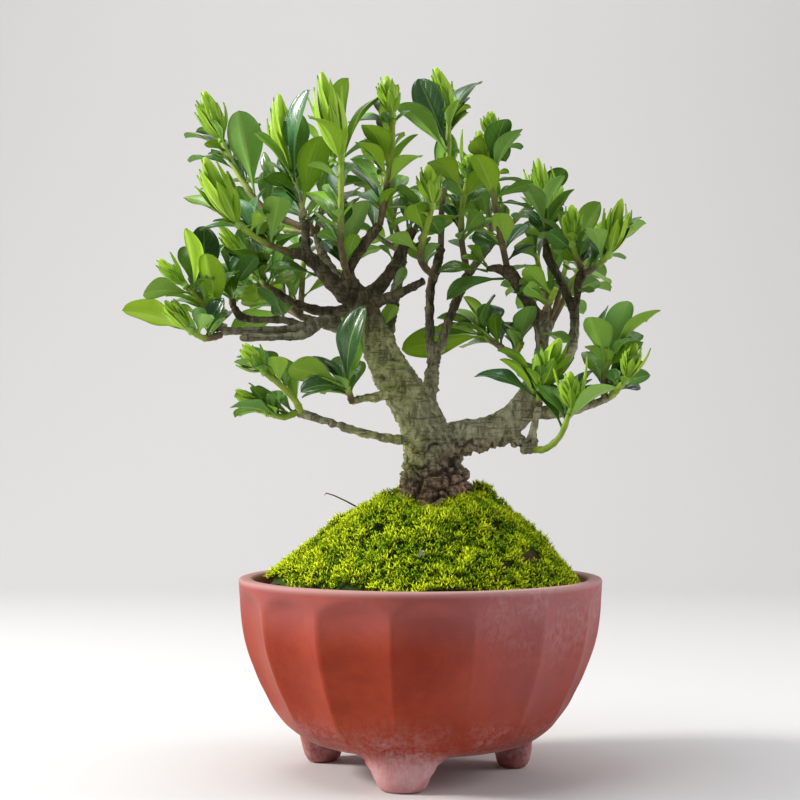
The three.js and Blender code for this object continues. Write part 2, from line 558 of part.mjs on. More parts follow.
function moss() {
  const under = MOUND.map(([radius, height]) => [radius, height + GAP]);
  const over = [];
  for (let i = MOUND.length - 1; i >= 0; i -= 1) {
    over.push([MOUND[i][0], MOUND[i][1] + MOSS_THICKNESS[i]]);
    if (i > 0) {
      const radius = (MOUND[i][0] + MOUND[i - 1][0]) / 2;
      const height = (MOUND[i][1] + MOUND[i - 1][1]) / 2;
      over.push([radius, height + (MOSS_THICKNESS[i] + MOSS_THICKNESS[i - 1]) / 2 + MOSS_SWELL]);
    }
  }
  const geometry = mound([...under, ...over]);
  const place = geometry.attributes.position;
  const rows = under.length + over.length + 1;
  for (let i = 0; i < place.count; i += 1) {
    const row = i % rows;
    const lump = mossLump(place.getX(i), place.getY(i));
    if (row >= under.length && row < rows - 1) place.setZ(i, place.getZ(i) + lump);
  }
  return toSolid(geometry);
}

function wood(grow) {
  const runs = WOOD.map(({ points, radii }) => {
    const route = new THREE.CatmullRomCurve3(points.map((point) => seen(...point)));
    const sides = WOOD_SIDES.find(([thinnest]) => radii[0] >= thinnest)[1];
    const steps = points.length > LONG_RUN ? points.length + 2 : points.length - 1;
    return tube(route.getPoints(steps), radii, sides, grow);
  });
  return wasm.Manifold.union(runs);
}

// The place on a stem nearest to a point of the front view.
function nearestOnStem(stem, x, z) {
  let best = null;
  for (let i = 0; i < stem.length - 1; i += 1) {
    const [ax, az, ad] = stem[i];
    const [bx, bz, bd] = stem[i + 1];
    const square = (bx - ax) ** 2 + (bz - az) ** 2;
    const most = i === stem.length - 2 ? Math.max(LOWEST_ROOT, 1 - ROOT_TO_END / Math.sqrt(square)) : 1;
    const nearest = ((x - ax) * (bx - ax) + (z - az) * (bz - az)) / square;
    const share = THREE.MathUtils.clamp(nearest, LOWEST_ROOT, most);
    const point = [ax + (bx - ax) * share, az + (bz - az) * share, ad + (bd - ad) * share];
    const distance = Math.hypot(point[0] - x, point[1] - z);
    if (!best || distance < best.distance) best = { point, distance };
  }
  return best.point;
}

// The part of a facing that stands square to a length.
function facing(along, face) {
  return face.clone().addScaledVector(along, -face.dot(along)).normalize();
}

// A leaf of the front view, worked out to its real length: what the view shortens goes into depth.
function frontLeaf(stem, [tipX, tipZ, baseX, baseZ, width, shows], bend) {
  const root = nearestOnStem(stem, baseX, baseZ);
  const flat = Math.hypot(tipX - root[0], tipZ - root[1]);
  const real = Math.max(flat * LEAST_STRETCH, Math.min(flat * MOST_STRETCH, TRUE_LENGTH));
  const rises = tipZ > baseZ ? 1 : -1;
  const side = shows === "t" ? 1 : -1;
  const lean = Math.sqrt(real * real - flat * flat) * rises * side;
  const trueWidth = Math.max(width, LEAST_WIDTH * real);
  const face = shows === "t" ? TOWARD_EYE : FROM_EYE;
  const start = seen(...root);
  const tip = seen(tipX, tipZ, root[2] + lean + bend);
  const along = tip.clone().sub(start).normalize();
  const turn = Math.acos(Math.min(1, width / trueWidth));
  const roll = along.cross(facing(along, face)).z < 0 ? -turn : turn;
  return { root: start, tip, width: trueWidth, face, roll };
}

// Stations of a blade: place along it and half width as a share of the greatest half width.
const BLADE = [[0, 0.15], [0.13, 0.2], [0.45, 0.88], [0.78, 0.93]];
const LONG_BLADE = [[0, 0.12], [0.1, 0.16], [0.34, 0.7], [0.6, 1], [0.86, 0.76]];
const SHORT_BLADE = [[0, 0.14], [0.4, 0.86], [0.78, 0.92]];
const LONG_LEAF = 44;
const SMALL_LEAF = 30;
const BLADE_ARCH = 0.07;

function blade({ root, tip, width, face, roll, stations, skip = 0 }) {
  const along = tip.clone().sub(root);
  const length = along.length();
  along.normalize();
  const up = facing(along, face).applyAxisAngle(along, roll);
  const side = along.clone().cross(up);
  const byLength = length > SMALL_LEAF ? BLADE : SHORT_BLADE;
  const chosen = stations ?? (length > LONG_LEAF ? LONG_BLADE : byLength);
  const rings = chosen.slice(skip).map(([share, wide]) => {
    const half = Math.max((wide * width) / 2, STALK_HALF_WIDTH);
    const arch = 4 * BLADE_ARCH * length * share * (1 - share);
    const centre = root.clone().addScaledVector(along, share * length).addScaledVector(up, arch);
    const raised = share > FOLDED_FROM ? half * BLADE_FOLD : 0;
    return [
      centre.clone().addScaledVector(side, half).addScaledVector(up, raised),
      centre.clone().addScaledVector(up, BLADE_HALF_THICKNESS),
      centre.clone().addScaledVector(side, -half).addScaledVector(up, raised),
      centre.clone().addScaledVector(up, -BLADE_HALF_THICKNESS),
    ];
  });
  return skin(rings, tip);
}

// Young leaves folded into one plump bud: rings along it, as shares of its length and of its half width.
const BUD_RINGS = [[0, 0.36], [0.28, 0.66], [0.56, 1], [0.79, 0.94], [0.93, 0.6]];
const BUD_SIDES = 6;
const BUD_FLATNESS = 0.86;
const CORE_RADII = [2, 1.2];
const LEAFLET = [[0, 0.6], [0.5, 1]];
const LEAFLET_WIDTH = 3;
const LEAFLET_TURN = 1.9;
const LEAFLET_FACE = new THREE.Vector3(0, 0.9, 0.44);
const BUD_FOOT = 2;
// The core of a bud reaches this share of the way from its foot to its tip.
const CORE_REACH = 0.1;
// Leaflets that stand round a bud: share of its height, and how far aside to the right and back in widths.
const LEAFLET_TIPS = [[0.74, -0.62, -0.3], [0.64, 0.6, 0.22]];

function bud(base, tip, width) {
  const along = tip.clone().sub(base);
  const right = new THREE.Vector3(1, 0, 0).addScaledVector(along, -along.x / along.lengthSq()).normalize();
  const back = along.clone().normalize().cross(right);
  const rings = BUD_RINGS.map(([share, wide]) => Array.from({ length: BUD_SIDES }, (_, side) => {
    const turn = (2 * Math.PI * side) / BUD_SIDES;
    const point = base.clone().addScaledVector(along, share);
    point.addScaledVector(right, (Math.cos(turn) * wide * width) / 2);
    return point.addScaledVector(back, (Math.sin(turn) * wide * width * BUD_FLATNESS) / 2);
  }));
  return skin(rings, tip);
}

function tuft(end, along, tips, width) {
  const base = end.clone().addScaledVector(along, GAP);
  const from = base.clone().addScaledVector(along, BUD_FOOT);
  const core = tube([base, from.clone().lerp(tips[0], CORE_REACH)], CORE_RADII, STEM_SIDES);
  const parts = [core, bud(from, tips[0], width)];
  const shape = { width: LEAFLET_WIDTH, stations: LEAFLET, face: LEAFLET_FACE };
  tips.slice(1).forEach((tip, i) => parts.push(blade({ ...shape, root: from, tip, roll: i * LEAFLET_TURN })));
  return largest(wasm.Manifold.union(parts));
}

function tuftTips(end, tip, width, more) {
  const rise = tip.clone().sub(end);
  const rest = LEAFLET_TIPS.slice(0, Math.max(1, LEAFLET_TIPS.length - more.length));
  const leaflets = rest.map(([share, right, back]) => {
    const aside = new THREE.Vector3(right * width, back * width, 0);
    return end.clone().addScaledVector(rise, share).add(aside);
  });
  return [tip, ...more, ...leaflets];
}

const placed = [];

function isClear(candidate, outer, owner) {
  const box = candidate.boundingBox();
  return placed.every((other) => {
    if (other.owner === owner) return !other.outer || outer.minGap(other.outer, 2 * LEAF_GAP) >= LEAF_GAP;
    for (let axis = 0; axis < 3; axis += 1) {
      if (box.min[axis] > other.box.max[axis] + LEAF_GAP) return true;
      if (box.max[axis] < other.box.min[axis] - LEAF_GAP) return true;
    }
    return candidate.minGap(other.solid, 2 * LEAF_GAP) >= LEAF_GAP;
  });
}

function keepClearOf(solid, owner, outer = null) {
  placed.push({ solid, outer, box: solid.boundingBox(), owner });
}

const group = new THREE.Group();

// Joins the ends of edges shorter than the shortest allowed, so that no sliver is left where pieces met.
function weld(made) {
  const { vertProperties, triVerts } = made.getMesh();
  const stands = Array.from({ length: vertProperties.length / 3 }, (_, i) => i);
  const standFor = (i) => (stands[i] === i ? i : standFor(stands[i]));
  const triangles = [];
  for (let i = 0; i < triVerts.length; i += 3) {
    for (let side = 0; side < 3; side += 1) {
      const a = standFor(triVerts[i + side]);
      const b = standFor(triVerts[i + ((side + 1) % 3)]);
      const apart = [0, 1, 2].map((axis) => vertProperties[3 * a + axis] - vertProperties[3 * b + axis]);
      if (a !== b && Math.hypot(...apart) < SHORTEST_EDGE) stands[Math.max(a, b)] = Math.min(a, b);
    }
  }
  for (let i = 0; i < triVerts.length; i += 3) {
    const corners = [0, 1, 2].map((side) => standFor(triVerts[i + side]));
    if (new Set(corners).size === 3) triangles.push(...corners);
  }
  const geometry = new THREE.BufferGeometry();
  geometry.setAttribute("position", new THREE.BufferAttribute(vertProperties, 3));
  geometry.setIndex(triangles);
  return toSolid(geometry);
}

function addPart(name, made, finish, step = SMALLEST_STEP) {
  const lighter = made.asOriginal().setTolerance(TOLERANCE).simplify(step);
  const mesh = largest(weld(lighter).asOriginal().simplify(step)).getMesh();
  const geometry = new THREE.BufferGeometry();
  geometry.setAttribute("position", new THREE.BufferAttribute(mesh.vertProperties, 3));
  geometry.setIndex(new THREE.BufferAttribute(mesh.triVerts, 1));
  geometry.computeVertexNormals();
  const material = new THREE.MeshStandardMaterial({ ...finish, metalness: 0 });
  const part = new THREE.Mesh(geometry, material);
  part.name = name;
  group.add(part);
}

function two(number) {
  return String(number).padStart(2, "0");
}

addPart("pot", bowl(), FINISHES.clay, BOWL_STEP);
addPart("soil", soil(), FINISHES.soil);
addPart("moss", moss(), FINISHES.moss);

const wholeWood = wood(0);
const fatWood = wood(GAP);
addPart("wood", wholeWood, FINISHES.bark, WOOD_STEP);

// All stems and tufts are placed first, so that the leaves can bend clear of them.
const shoots = SHOOTS.map(({ stem, bud, leaves }, i) => {
  const points = stem.map((point) => seen(...point));
  const solid = tube(points, STEM_RADII, STEM_SIDES).subtract(fatWood);
  const end = points[points.length - 1];
  const along = end.clone().sub(points[points.length - 2]).normalize();
  return { owner: i + 1, stem, bud, leaves, points, solid: largest(solid), end, along };
});
const fatStems = wasm.Manifold.union(shoots.map(({ points }) => tube(points, STEM_RADII, STEM_SIDES, GAP)));
shoots.forEach((shoot) => {
  keepClearOf(shoot.solid, shoot.owner);
  if (!shoot.bud) return;
  const depth = shoot.stem[shoot.stem.length - 1][2];
  const tips = [shoot.bud.tip, ...shoot.bud.more].map(([x, z]) => seen(x, z, depth));
  const { width } = shoot.bud;
  const made = tuft(shoot.end, shoot.along, tuftTips(shoot.end, tips[0], width, tips.slice(1)), width);
  shoot.tuft = largest(made.subtract(fatWood).subtract(fatStems));
});
shoots.forEach((shoot) => {
  if (shoot.tuft) keepClearOf(shoot.tuft, `tuft ${shoot.owner}`);
});

shoots.forEach((shoot) => {
  const parts = [shoot.solid];
  shoot.leaves.forEach((leaf) => {
    for (const bend of BEND_STEPS) {
      const plan = frontLeaf(shoot.stem, leaf, bend);
      const made = blade(plan);
      const outer = blade({ ...plan, skip: 1 });
      if (made.intersect(fatWood).volume() < TOUCH_VOLUME && isClear(made, outer, shoot.owner)) {
        parts.push(made);
        keepClearOf(made, shoot.owner, outer);
        return;
      }
    }
  });
  const whole = largest(wasm.Manifold.union(parts).subtract(fatWood));
  addPart(`spray_${two(shoot.owner)}`, whole, FINISHES.leaf);
  if (shoot.tuft) addPart(`bud_${two(shoot.owner)}`, shoot.tuft, FINISHES.shoot);
});

// Leaves of the far shoots stand in pairs that cross each other up the fork.
const farShoots = FAR_SHOOTS.map(({ foot, forks, pairs, grows }, i) => {
  const owner = SHOOTS.length + 1 + i;
  const from = seen(...foot);
  const stems = [];
  const leaves = [];
  let newGrowth = null;
  forks.forEach((fork, forkNumber) => {
    const to = seen(...fork);
    const along = to.clone().sub(from).normalize();
    const middle = from.clone().add(to).divideScalar(2);
    stems.push(tube([from, middle, to], STEM_RADII, STEM_SIDES));
    const sideways = new THREE.Vector3(along.z, along.x, -along.y).cross(along).normalize();
    for (let pair = 0; pair < pairs; pair += 1) {
      const root = from.clone().lerp(to, FAR_PAIRS[0] + (FAR_PAIRS[1] * pair) / (pairs - 1));
      for (let half = 0; half < 2; half += 1) {
        const turn = Math.PI * half + (Math.PI / 2) * pair + draw(-FAR_SWING, FAR_SWING) + forkNumber;
        const length = draw(...FAR_LEAF_LENGTH);
        const out = sideways.clone().applyAxisAngle(along, turn);
        const lift = draw(...FAR_LIFT);
        const tip = root.clone().addScaledVector(out, length * Math.cos(lift));
        tip.addScaledVector(along, length * Math.sin(lift));
        const start = root.clone().addScaledVector(out, FAR_LEAF_START);
        const roll = draw(-FAR_SWING, FAR_SWING);
        leaves.push({ root: start, tip, width: FAR_LEAF_WIDTH * length, face: along, roll });
      }
    }
    const crown = to.clone().addScaledVector(along, FAR_BUD_LENGTH);
    if (grows && forkNumber === 0) {
      const made = tuft(to, along, tuftTips(to, crown, FAR_BUD_WIDTH, []), FAR_BUD_WIDTH);
      newGrowth = largest(made.subtract(fatWood));
    } else {
      const root = from.clone().lerp(to, LAST_LEAF_START);
      leaves.push({ root, tip: crown, width: FAR_BUD_WIDTH, face: sideways, roll: 0 });
    }
  });
  const stem = largest(wasm.Manifold.union(stems).subtract(fatWood));
  keepClearOf(stem, owner);
  if (newGrowth) keepClearOf(newGrowth, `tuft ${owner}`);
  return { owner, stem, newGrowth, leaves };
});

farShoots.forEach(({ owner, stem, newGrowth, leaves }) => {
  const grown = [stem];
  leaves.forEach((leaf) => {
    for (const bend of BEND_STEPS) {
      const tip = leaf.tip.clone().add(new THREE.Vector3(0, 0, bend));
      const plan = { ...leaf, tip, stations: SHORT_BLADE };
      const made = blade(plan);
      const outer = blade({ ...plan, skip: 1 });
      if (made.intersect(fatWood).volume() < TOUCH_VOLUME && isClear(made, outer, owner)) {
        grown.push(made);
        keepClearOf(made, owner, outer);
        return;
      }
    }
  });
  addPart(`spray_${two(owner)}`, largest(wasm.Manifold.union(grown).subtract(fatWood)), FINISHES.leaf);
  if (newGrowth) addPart(`bud_${two(owner)}`, newGrowth, FINISHES.shoot);
});

const whole = new THREE.Box3().setFromObject(group);
group.position.set(-(whole.min.x + whole.max.x) / 2, -(whole.min.y + whole.max.y) / 2, -whole.min.z);

export default group;
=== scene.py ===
# %% [markdown]
# A potted gardenia, grown as a miniature tree in a fluted clay bowl.
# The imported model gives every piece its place. This lesson dresses it: the bowl gets its fired clay and
# lime stains, the mound its moss, the trunk its bark, and each leaf its midrib, veins and gloss.
# Everything is in metres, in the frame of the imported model, and the helpers below turn millimetres into it.

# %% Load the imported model
import math
from itertools import product

import bpy
import numpy as np
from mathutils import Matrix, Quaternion, Vector, kdtree, noise


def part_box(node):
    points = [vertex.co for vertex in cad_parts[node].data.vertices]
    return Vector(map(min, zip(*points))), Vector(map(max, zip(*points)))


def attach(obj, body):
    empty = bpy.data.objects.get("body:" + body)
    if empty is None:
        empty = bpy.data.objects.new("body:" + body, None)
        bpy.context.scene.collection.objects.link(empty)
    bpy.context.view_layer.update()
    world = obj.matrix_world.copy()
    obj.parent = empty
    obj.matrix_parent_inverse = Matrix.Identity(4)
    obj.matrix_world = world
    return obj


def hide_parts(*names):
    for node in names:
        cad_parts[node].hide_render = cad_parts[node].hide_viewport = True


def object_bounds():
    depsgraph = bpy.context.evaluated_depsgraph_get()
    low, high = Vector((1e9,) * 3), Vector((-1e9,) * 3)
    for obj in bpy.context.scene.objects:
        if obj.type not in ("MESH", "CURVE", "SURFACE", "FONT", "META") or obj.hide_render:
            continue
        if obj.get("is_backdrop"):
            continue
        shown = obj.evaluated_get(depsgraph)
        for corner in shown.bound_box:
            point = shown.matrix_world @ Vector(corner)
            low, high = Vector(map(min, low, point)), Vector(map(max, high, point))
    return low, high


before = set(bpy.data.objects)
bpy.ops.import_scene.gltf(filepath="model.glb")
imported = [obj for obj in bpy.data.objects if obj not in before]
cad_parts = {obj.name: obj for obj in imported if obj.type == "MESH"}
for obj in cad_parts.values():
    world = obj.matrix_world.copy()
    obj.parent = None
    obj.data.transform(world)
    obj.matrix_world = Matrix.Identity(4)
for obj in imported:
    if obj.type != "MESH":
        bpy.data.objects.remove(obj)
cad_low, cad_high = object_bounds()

MM = 0.001
bowl_low, bowl_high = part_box("pot")
AXIS_X = (bowl_low.x + bowl_high.x) / 2
AXIS_Y = (bowl_low.y + bowl_high.y) / 2
BOWL_AXIS = Vector((AXIS_X, AXIS_Y, 0))
print("bowl axis at", round(AXIS_X / MM, 2), round(AXIS_Y / MM, 2), "mm")

# %% [markdown]
# The photograph was taken from a little under a metre, almost level. The eye sits in front of the bowl's
# axis, and places below are given as they appear in the plane of that axis: x to the right, z up, and the
# depth behind the plane. A point further back is spread away from the eye's line so that it still appears
# at the same x and z.

# %% From the front view to space
EYE_DISTANCE = 900
EYE_HEIGHT = 169.5


def seen(x, z, depth):
    spread = 1 + depth / EYE_DISTANCE
    place = Vector((x * spread, depth, EYE_HEIGHT + (z - EYE_HEIGHT) * spread))
    return place * MM + BOWL_AXIS


def as_seen(x, y, z):
    """Where a point given in millimetres from the bowl's axis shows in the front view."""
    spread = 1 + y / EYE_DISTANCE
    return x / spread, EYE_HEIGHT + (z - EYE_HEIGHT) / spread


# %% [markdown]
# A lens is as long as the camera's distance times its film's width, over the width that it should see.

# %% The camera
LOOK_AT = (-10, 185)
SENSOR_WIDTH = 36
VIEW_WIDTH = 400
NEAREST_SEEN = 0.01


def new_object(name, data):
    made = bpy.data.objects.new(name, data)
    bpy.context.scene.collection.objects.link(made)
    return made


camera_data = bpy.data.cameras.new("camera")
camera_data.sensor_width = SENSOR_WIDTH
camera_data.lens = SENSOR_WIDTH * EYE_DISTANCE / VIEW_WIDTH
camera_data.clip_start = NEAREST_SEEN
camera = new_object("camera", camera_data)
camera.location = BOWL_AXIS + Vector((0, -EYE_DISTANCE, EYE_HEIGHT)) * MM
toward = seen(LOOK_AT[0], LOOK_AT[1], 0) - camera.location
camera.rotation_euler = toward.to_track_quat("-Z", "Y").to_euler()
bpy.context.scene.camera = camera
print("camera:", round(camera_data.lens), "mm lens,", EYE_DISTANCE, "mm from the bowl's axis")

# %% [markdown]
# A plain pale floor that rises into a backdrop in one smooth sweep leaves no horizon line behind the leaves.
# Four area lights do the rest. A small strong one from the left models the flutes, a weaker and broader one
# from the right gives the bowl its pinkish flank, a cool one overhead glints on the waxy leaves, and one
# washes the backdrop.

# %% Floor, backdrop and lights
SWEEP_HALF_WIDTH = 3.0
SWEEP_FRONT = -2.2
SWEEP_BACK = 1.7
SWEEP_RADIUS = 0.7
SWEEP_TOP = 3.2
SWEEP_STEPS = 24
PLANT_MIDDLE = (AXIS_X, AXIS_Y, 0.2)
BACKDROP_MIDDLE = (AXIS_X, SWEEP_BACK, 0.3)
PAPER_COLOUR, PAPER_ROUGHNESS = (0.66, 0.65, 0.64), 0.9
# Each light has a name, a place, a size, a power, a colour and an aim.
LIGHTS = [
    ("window_left", (-1.3, -0.1, 0.8), 0.36, 26, (1, 0.975, 0.94), PLANT_MIDDLE),
    ("window_right", (1.3, -0.05, 0.7), 0.7, 8, (1, 0.93, 0.97), PLANT_MIDDLE),
    ("skylight", (-0.25, -0.2, 1.5), 0.8, 11, (0.88, 0.95, 1), PLANT_MIDDLE),
    ("backdrop_wash", (0, 0.5, 1.9), 1.2, 10, (1, 1, 1), BACKDROP_MIDDLE),
]
ROOM_COLOUR, ROOM_LIGHT = (0.95, 0.97, 1, 1), 0.27


def plain_material(name, colour, roughness):
    material = bpy.data.materials.new(name)
    material.use_nodes = True
    shader = material.node_tree.nodes["Principled BSDF"]
    shader.inputs["Base Color"].default_value = (*colour, 1)
    shader.inputs["Roughness"].default_value = roughness
    return material


def sweep():
    line = [(SWEEP_FRONT, 0), (SWEEP_BACK - SWEEP_RADIUS, 0)]
    for step in range(1, SWEEP_STEPS + 1):
        turn = math.pi / 2 * step / SWEEP_STEPS
        line.append((SWEEP_BACK - SWEEP_RADIUS * (1 - math.sin(turn)), SWEEP_RADIUS * (1 - math.cos(turn))))
    line.append((SWEEP_BACK, SWEEP_TOP))
    points = [(side * SWEEP_HALF_WIDTH, y, z) for y, z in line for side in (-1, 1)]
    faces = [(2 * i, 2 * i + 1, 2 * i + 3, 2 * i + 2) for i in range(len(line) - 1)]
    mesh = bpy.data.meshes.new("studio_sweep")
    mesh.from_pydata(points, [], faces)
    mesh.polygons.foreach_set("use_smooth", [True] * len(faces))
    mesh.materials.append(plain_material("pale_paper", PAPER_COLOUR, PAPER_ROUGHNESS))
    made = new_object("studio_sweep", mesh)
    made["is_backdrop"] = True


def soft_light(name, place, size, power, colour, aim):
    data = bpy.data.lights.new(name, "AREA")
    data.size = size
    data.energy = power
    data.color = colour
    light = new_object(name, data)
    light.location = place
    light.rotation_euler = (Vector(aim) - Vector(place)).to_track_quat("-Z", "Y").to_euler()


sweep()
for light in LIGHTS:
    soft_light(*light)
world = bpy.data.worlds.new("pale_room")
world.use_nodes = True
background = world.node_tree.nodes["Background"].inputs
background["Color"].default_value = ROOM_COLOUR
background["Strength"].default_value = ROOM_LIGHT
bpy.context.scene.world = world
bpy.context.scene.view_settings.view_transform = "Standard"
print("sweep and", len(LIGHTS), "lights stand")

# %% [markdown]
# A piece is gathered in numpy first: its points, faces, which material each face takes, a place on the
# blade for each point (the UV map), and three plain numbers for each point that the materials read. "tone"
# says how light this leaf is, "tint" whether it is bluish or olive, and "along" how far up its own length
# a point lies.

# %% Gathering pieces
class Stock:
    def __init__(self):
        self.points, self.faces, self.slots, self.uvs = [], [], [], []
        self.numbers = {"tone": [], "tint": [], "along": []}
        self.count = 0

    def add(self, points, faces, slot=0, uvs=None, tone=0.5, tint=0.5, along=0.0):
        points = np.asarray(points, float)
        size = len(points)
        self.points.append(points)
        self.faces += [np.asarray(block, int) + self.count for block in faces]
        slots = slot if isinstance(slot, list) else [slot] * len(faces)
        self.slots.append(np.concatenate([np.full(len(block), s) for block, s in zip(faces, slots)]))
        self.uvs.append(np.zeros((size, 2)) if uvs is None else uvs)
        for label, value in (("tone", tone), ("tint", tint), ("along", along)):
            self.numbers[label].append(np.full(size, value) if np.isscalar(value) else value)
        self.count += size

    def mesh(self, name):
        made = bpy.data.meshes.new(name)
        faces = [tuple(face) for block in self.faces for face in block.tolist()]
        made.from_pydata(np.concatenate(self.points).tolist(), [], faces)
        return made


def grid(rows, columns, start=0, closed=False, flip=False):
    """Quads of a grid of points stored row by row."""
    across = columns if closed else columns - 1
    row, column = np.meshgrid(np.arange(rows - 1), np.arange(across), indexing="ij")
    after = (column + 1) % columns
    a = start + row * columns + column
    b = start + row * columns + after
    quads = np.stack([a, b, b + columns, a + columns], axis=-1).reshape(-1, 4)
    return quads[:, ::-1] if flip else quads


def end_caps(rings, sides):
    """The two faces that close a stack of rings."""
    ring = np.arange(sides)
    return [ring[::-1][None, :], (ring + (rings - 1) * sides)[None, :]]


# %% [markdown]
# Every piece ends the same way. It rides on the one body of the imported model and replaces the plain solid
# that it stands for. foreach_set fills a whole layer at once.

# %% Making pieces
triangles_made = {}


def finish_piece(made, nodes):
    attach(made, "root")
    if nodes:
        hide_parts(*nodes)
    triangles_made[made.name] = sum(len(polygon.vertices) - 2 for polygon in made.data.polygons)


def make_piece(name, stock, materials, nodes=()):
    mesh = stock.mesh(name)
    mesh.polygons.foreach_set("use_smooth", [True] * len(mesh.polygons))
    mesh.polygons.foreach_set("material_index", np.concatenate(stock.slots).astype(int))
    corners = np.empty(len(mesh.loops), int)
    mesh.loops.foreach_get("vertex_index", corners)
    layer = mesh.uv_layers.new(name="blade")
    layer.data.foreach_set("uv", np.concatenate(stock.uvs)[corners].ravel())
    for label, values in stock.numbers.items():
        attribute = mesh.attributes.new(label, "FLOAT", "POINT")
        attribute.data.foreach_set("value", np.concatenate(values).astype(np.float32))
    for material in materials:
        mesh.materials.append(material)
    made = new_object(name, mesh)
    finish_piece(made, nodes)
    return made


# %% [markdown]
# Shader nodes are wired by a small bench, so that a finish reads as a few lines of arithmetic. Effects that
# several finishes share are node groups, each built once: a fine grain for clay, soil, bark and leaves, a
# slow mottle that shifts colour from place to place, and the veins of a leaf.

# %% The shader bench
class Bench:
    def __init__(self, tree):
        self.tree = tree

    def node(self, kind, **settings):
        made = self.tree.nodes.new(kind)
        for key, value in settings.items():
            setattr(made, key, value)
        return made

    def feed(self, socket, value):
        if isinstance(value, bpy.types.NodeSocket):
            self.tree.links.new(value, socket)
        else:
            socket.default_value = value

    def math(self, operation, a, b=0.0):
        made = self.node("ShaderNodeMath", operation=operation)
        self.feed(made.inputs[0], a)
        self.feed(made.inputs[1], b)
        return made.outputs[0]

    def times(self, *values):
        product_so_far = values[0]
        for value in values[1:]:
            product_so_far = self.math("MULTIPLY", product_so_far, value)
        return product_so_far

    def step(self, value, low, high, start=0.0, end=1.0):
        made = self.node("ShaderNodeMapRange", interpolation_type="SMOOTHSTEP")
        for socket, given in zip(made.inputs, (value, low, high, start, end)):
            self.feed(socket, given)
        return made.outputs[0]

    def blend(self, share, a, b):
        made = self.node("ShaderNodeMix", data_type="RGBA")
        self.feed(made.inputs[0], share)
        self.feed(made.inputs[6], a if isinstance(a, bpy.types.NodeSocket) else (*a, 1))
        self.feed(made.inputs[7], b if isinstance(b, bpy.types.NodeSocket) else (*b, 1))
        return made.outputs[2]

    def noise(self, place, scale, detail=3.0, roughness=0.55, distortion=0.0):
        made = self.node("ShaderNodeTexNoise")
        settings = {"Vector": place, "Scale": scale, "Detail": detail}
        settings |= {"Roughness": roughness, "Distortion": distortion}
        for label, value in settings.items():
            self.feed(made.inputs[label], value)
        return made.outputs["Fac"]

    def place(self):
        return self.node("ShaderNodeTexCoord").outputs["Object"]

    def parts(self, vector):
        made = self.node("ShaderNodeSeparateXYZ")
        self.feed(made.inputs[0], vector)
        return made.outputs

    def stretched(self, vector, scale):
        made = self.node("ShaderNodeVectorMath", operation="MULTIPLY")
        self.feed(made.inputs[0], vector)
        self.feed(made.inputs[1], scale)
        return made.outputs[0]

    def attribute(self, name):
        return self.node("ShaderNodeAttribute", attribute_name=name).outputs["Fac"]

    def bump(self, height, distance, strength=1.0, under=None):
        made = self.node("ShaderNodeBump")
        made.inputs["Distance"].default_value = distance
        made.inputs["Strength"].default_value = strength
        self.feed(made.inputs["Height"], height)
        if under is not None:
            self.feed(made.inputs["Normal"], under)
        return made.outputs[0]

    def use(self, group, **values):
        made = self.node("ShaderNodeGroup")
        made.node_tree = group
        for label, value in values.items():
            self.feed(made.inputs[label.replace("_", " ")], value)
        return made.outputs


def new_group(name, inputs, outputs):
    group = bpy.data.node_groups.new(name, "ShaderNodeTree")
    for label, kind, value in inputs:
        socket = group.interface.new_socket(label, in_out="INPUT", socket_type=kind)
        if value is not None:
            socket.default_value = value
    for label, kind in outputs:
        group.interface.new_socket(label, in_out="OUTPUT", socket_type=kind)
    bench = Bench(group)
    return group, bench, bench.node("NodeGroupInput").outputs, bench.node("NodeGroupOutput").inputs


def new_material(name, **values):
    material = bpy.data.materials.new(name)
    material.use_nodes = True
    shader = material.node_tree.nodes["Principled BSDF"]
    for label, value in values.items():
        shader.inputs[label.replace("_", " ")].default_value = value
    return material, Bench(material.node_tree), shader.inputs


FLOAT = "NodeSocketFloat"
VECTOR = "NodeSocketVector"

# %% Fine grain and slow mottle
COARSE_SIZE, FINE_SHARE, SPECK_BAND = 0.22, 0.45, (0.62, 0.74)
SOFTEST_HALF_BAND, LEAST_BAND = 0.35, 0.01

grain_group, bench, given, result = new_group(
    "fine_grain", [("Place", VECTOR, None), ("Size", FLOAT, 900.0)], [("Height", FLOAT), ("Specks", FLOAT)]
)
fine = bench.noise(given["Place"], given["Size"], 4.0, 0.7)
coarse = bench.noise(given["Place"], bench.times(given["Size"], COARSE_SIZE), 3.0, 0.6)
mixed = bench.math("ADD", bench.times(fine, FINE_SHARE), bench.times(coarse, 1 - FINE_SHARE))
bench.feed(result["Height"], mixed)
bench.feed(result["Specks"], bench.step(fine, *SPECK_BAND))

mottle_group, bench, given, result = new_group(
    "slow_mottle",
    [("Place", VECTOR, None), ("Size", FLOAT, 40.0), ("Contrast", FLOAT, 0.5)],
    [("Mask", FLOAT)],
)
broad = bench.noise(given["Place"], given["Size"], 4.0, 0.62, 0.4)
half_band = bench.times(bench.math("SUBTRACT", 1.0, given["Contrast"]), SOFTEST_HALF_BAND)
low = bench.math("SUBTRACT", 0.5, half_band)
high = bench.math("ADD", bench.math("ADD", 0.5, half_band), LEAST_BAND)
bench.feed(result["Mask"], bench.step(broad, low, high))


def mottled(bench, place, size, contrast):
    return bench.use(mottle_group, Place=place, Size=size, Contrast=contrast)["Mask"]


print("two shared effects:", grain_group.name, mottle_group.name)
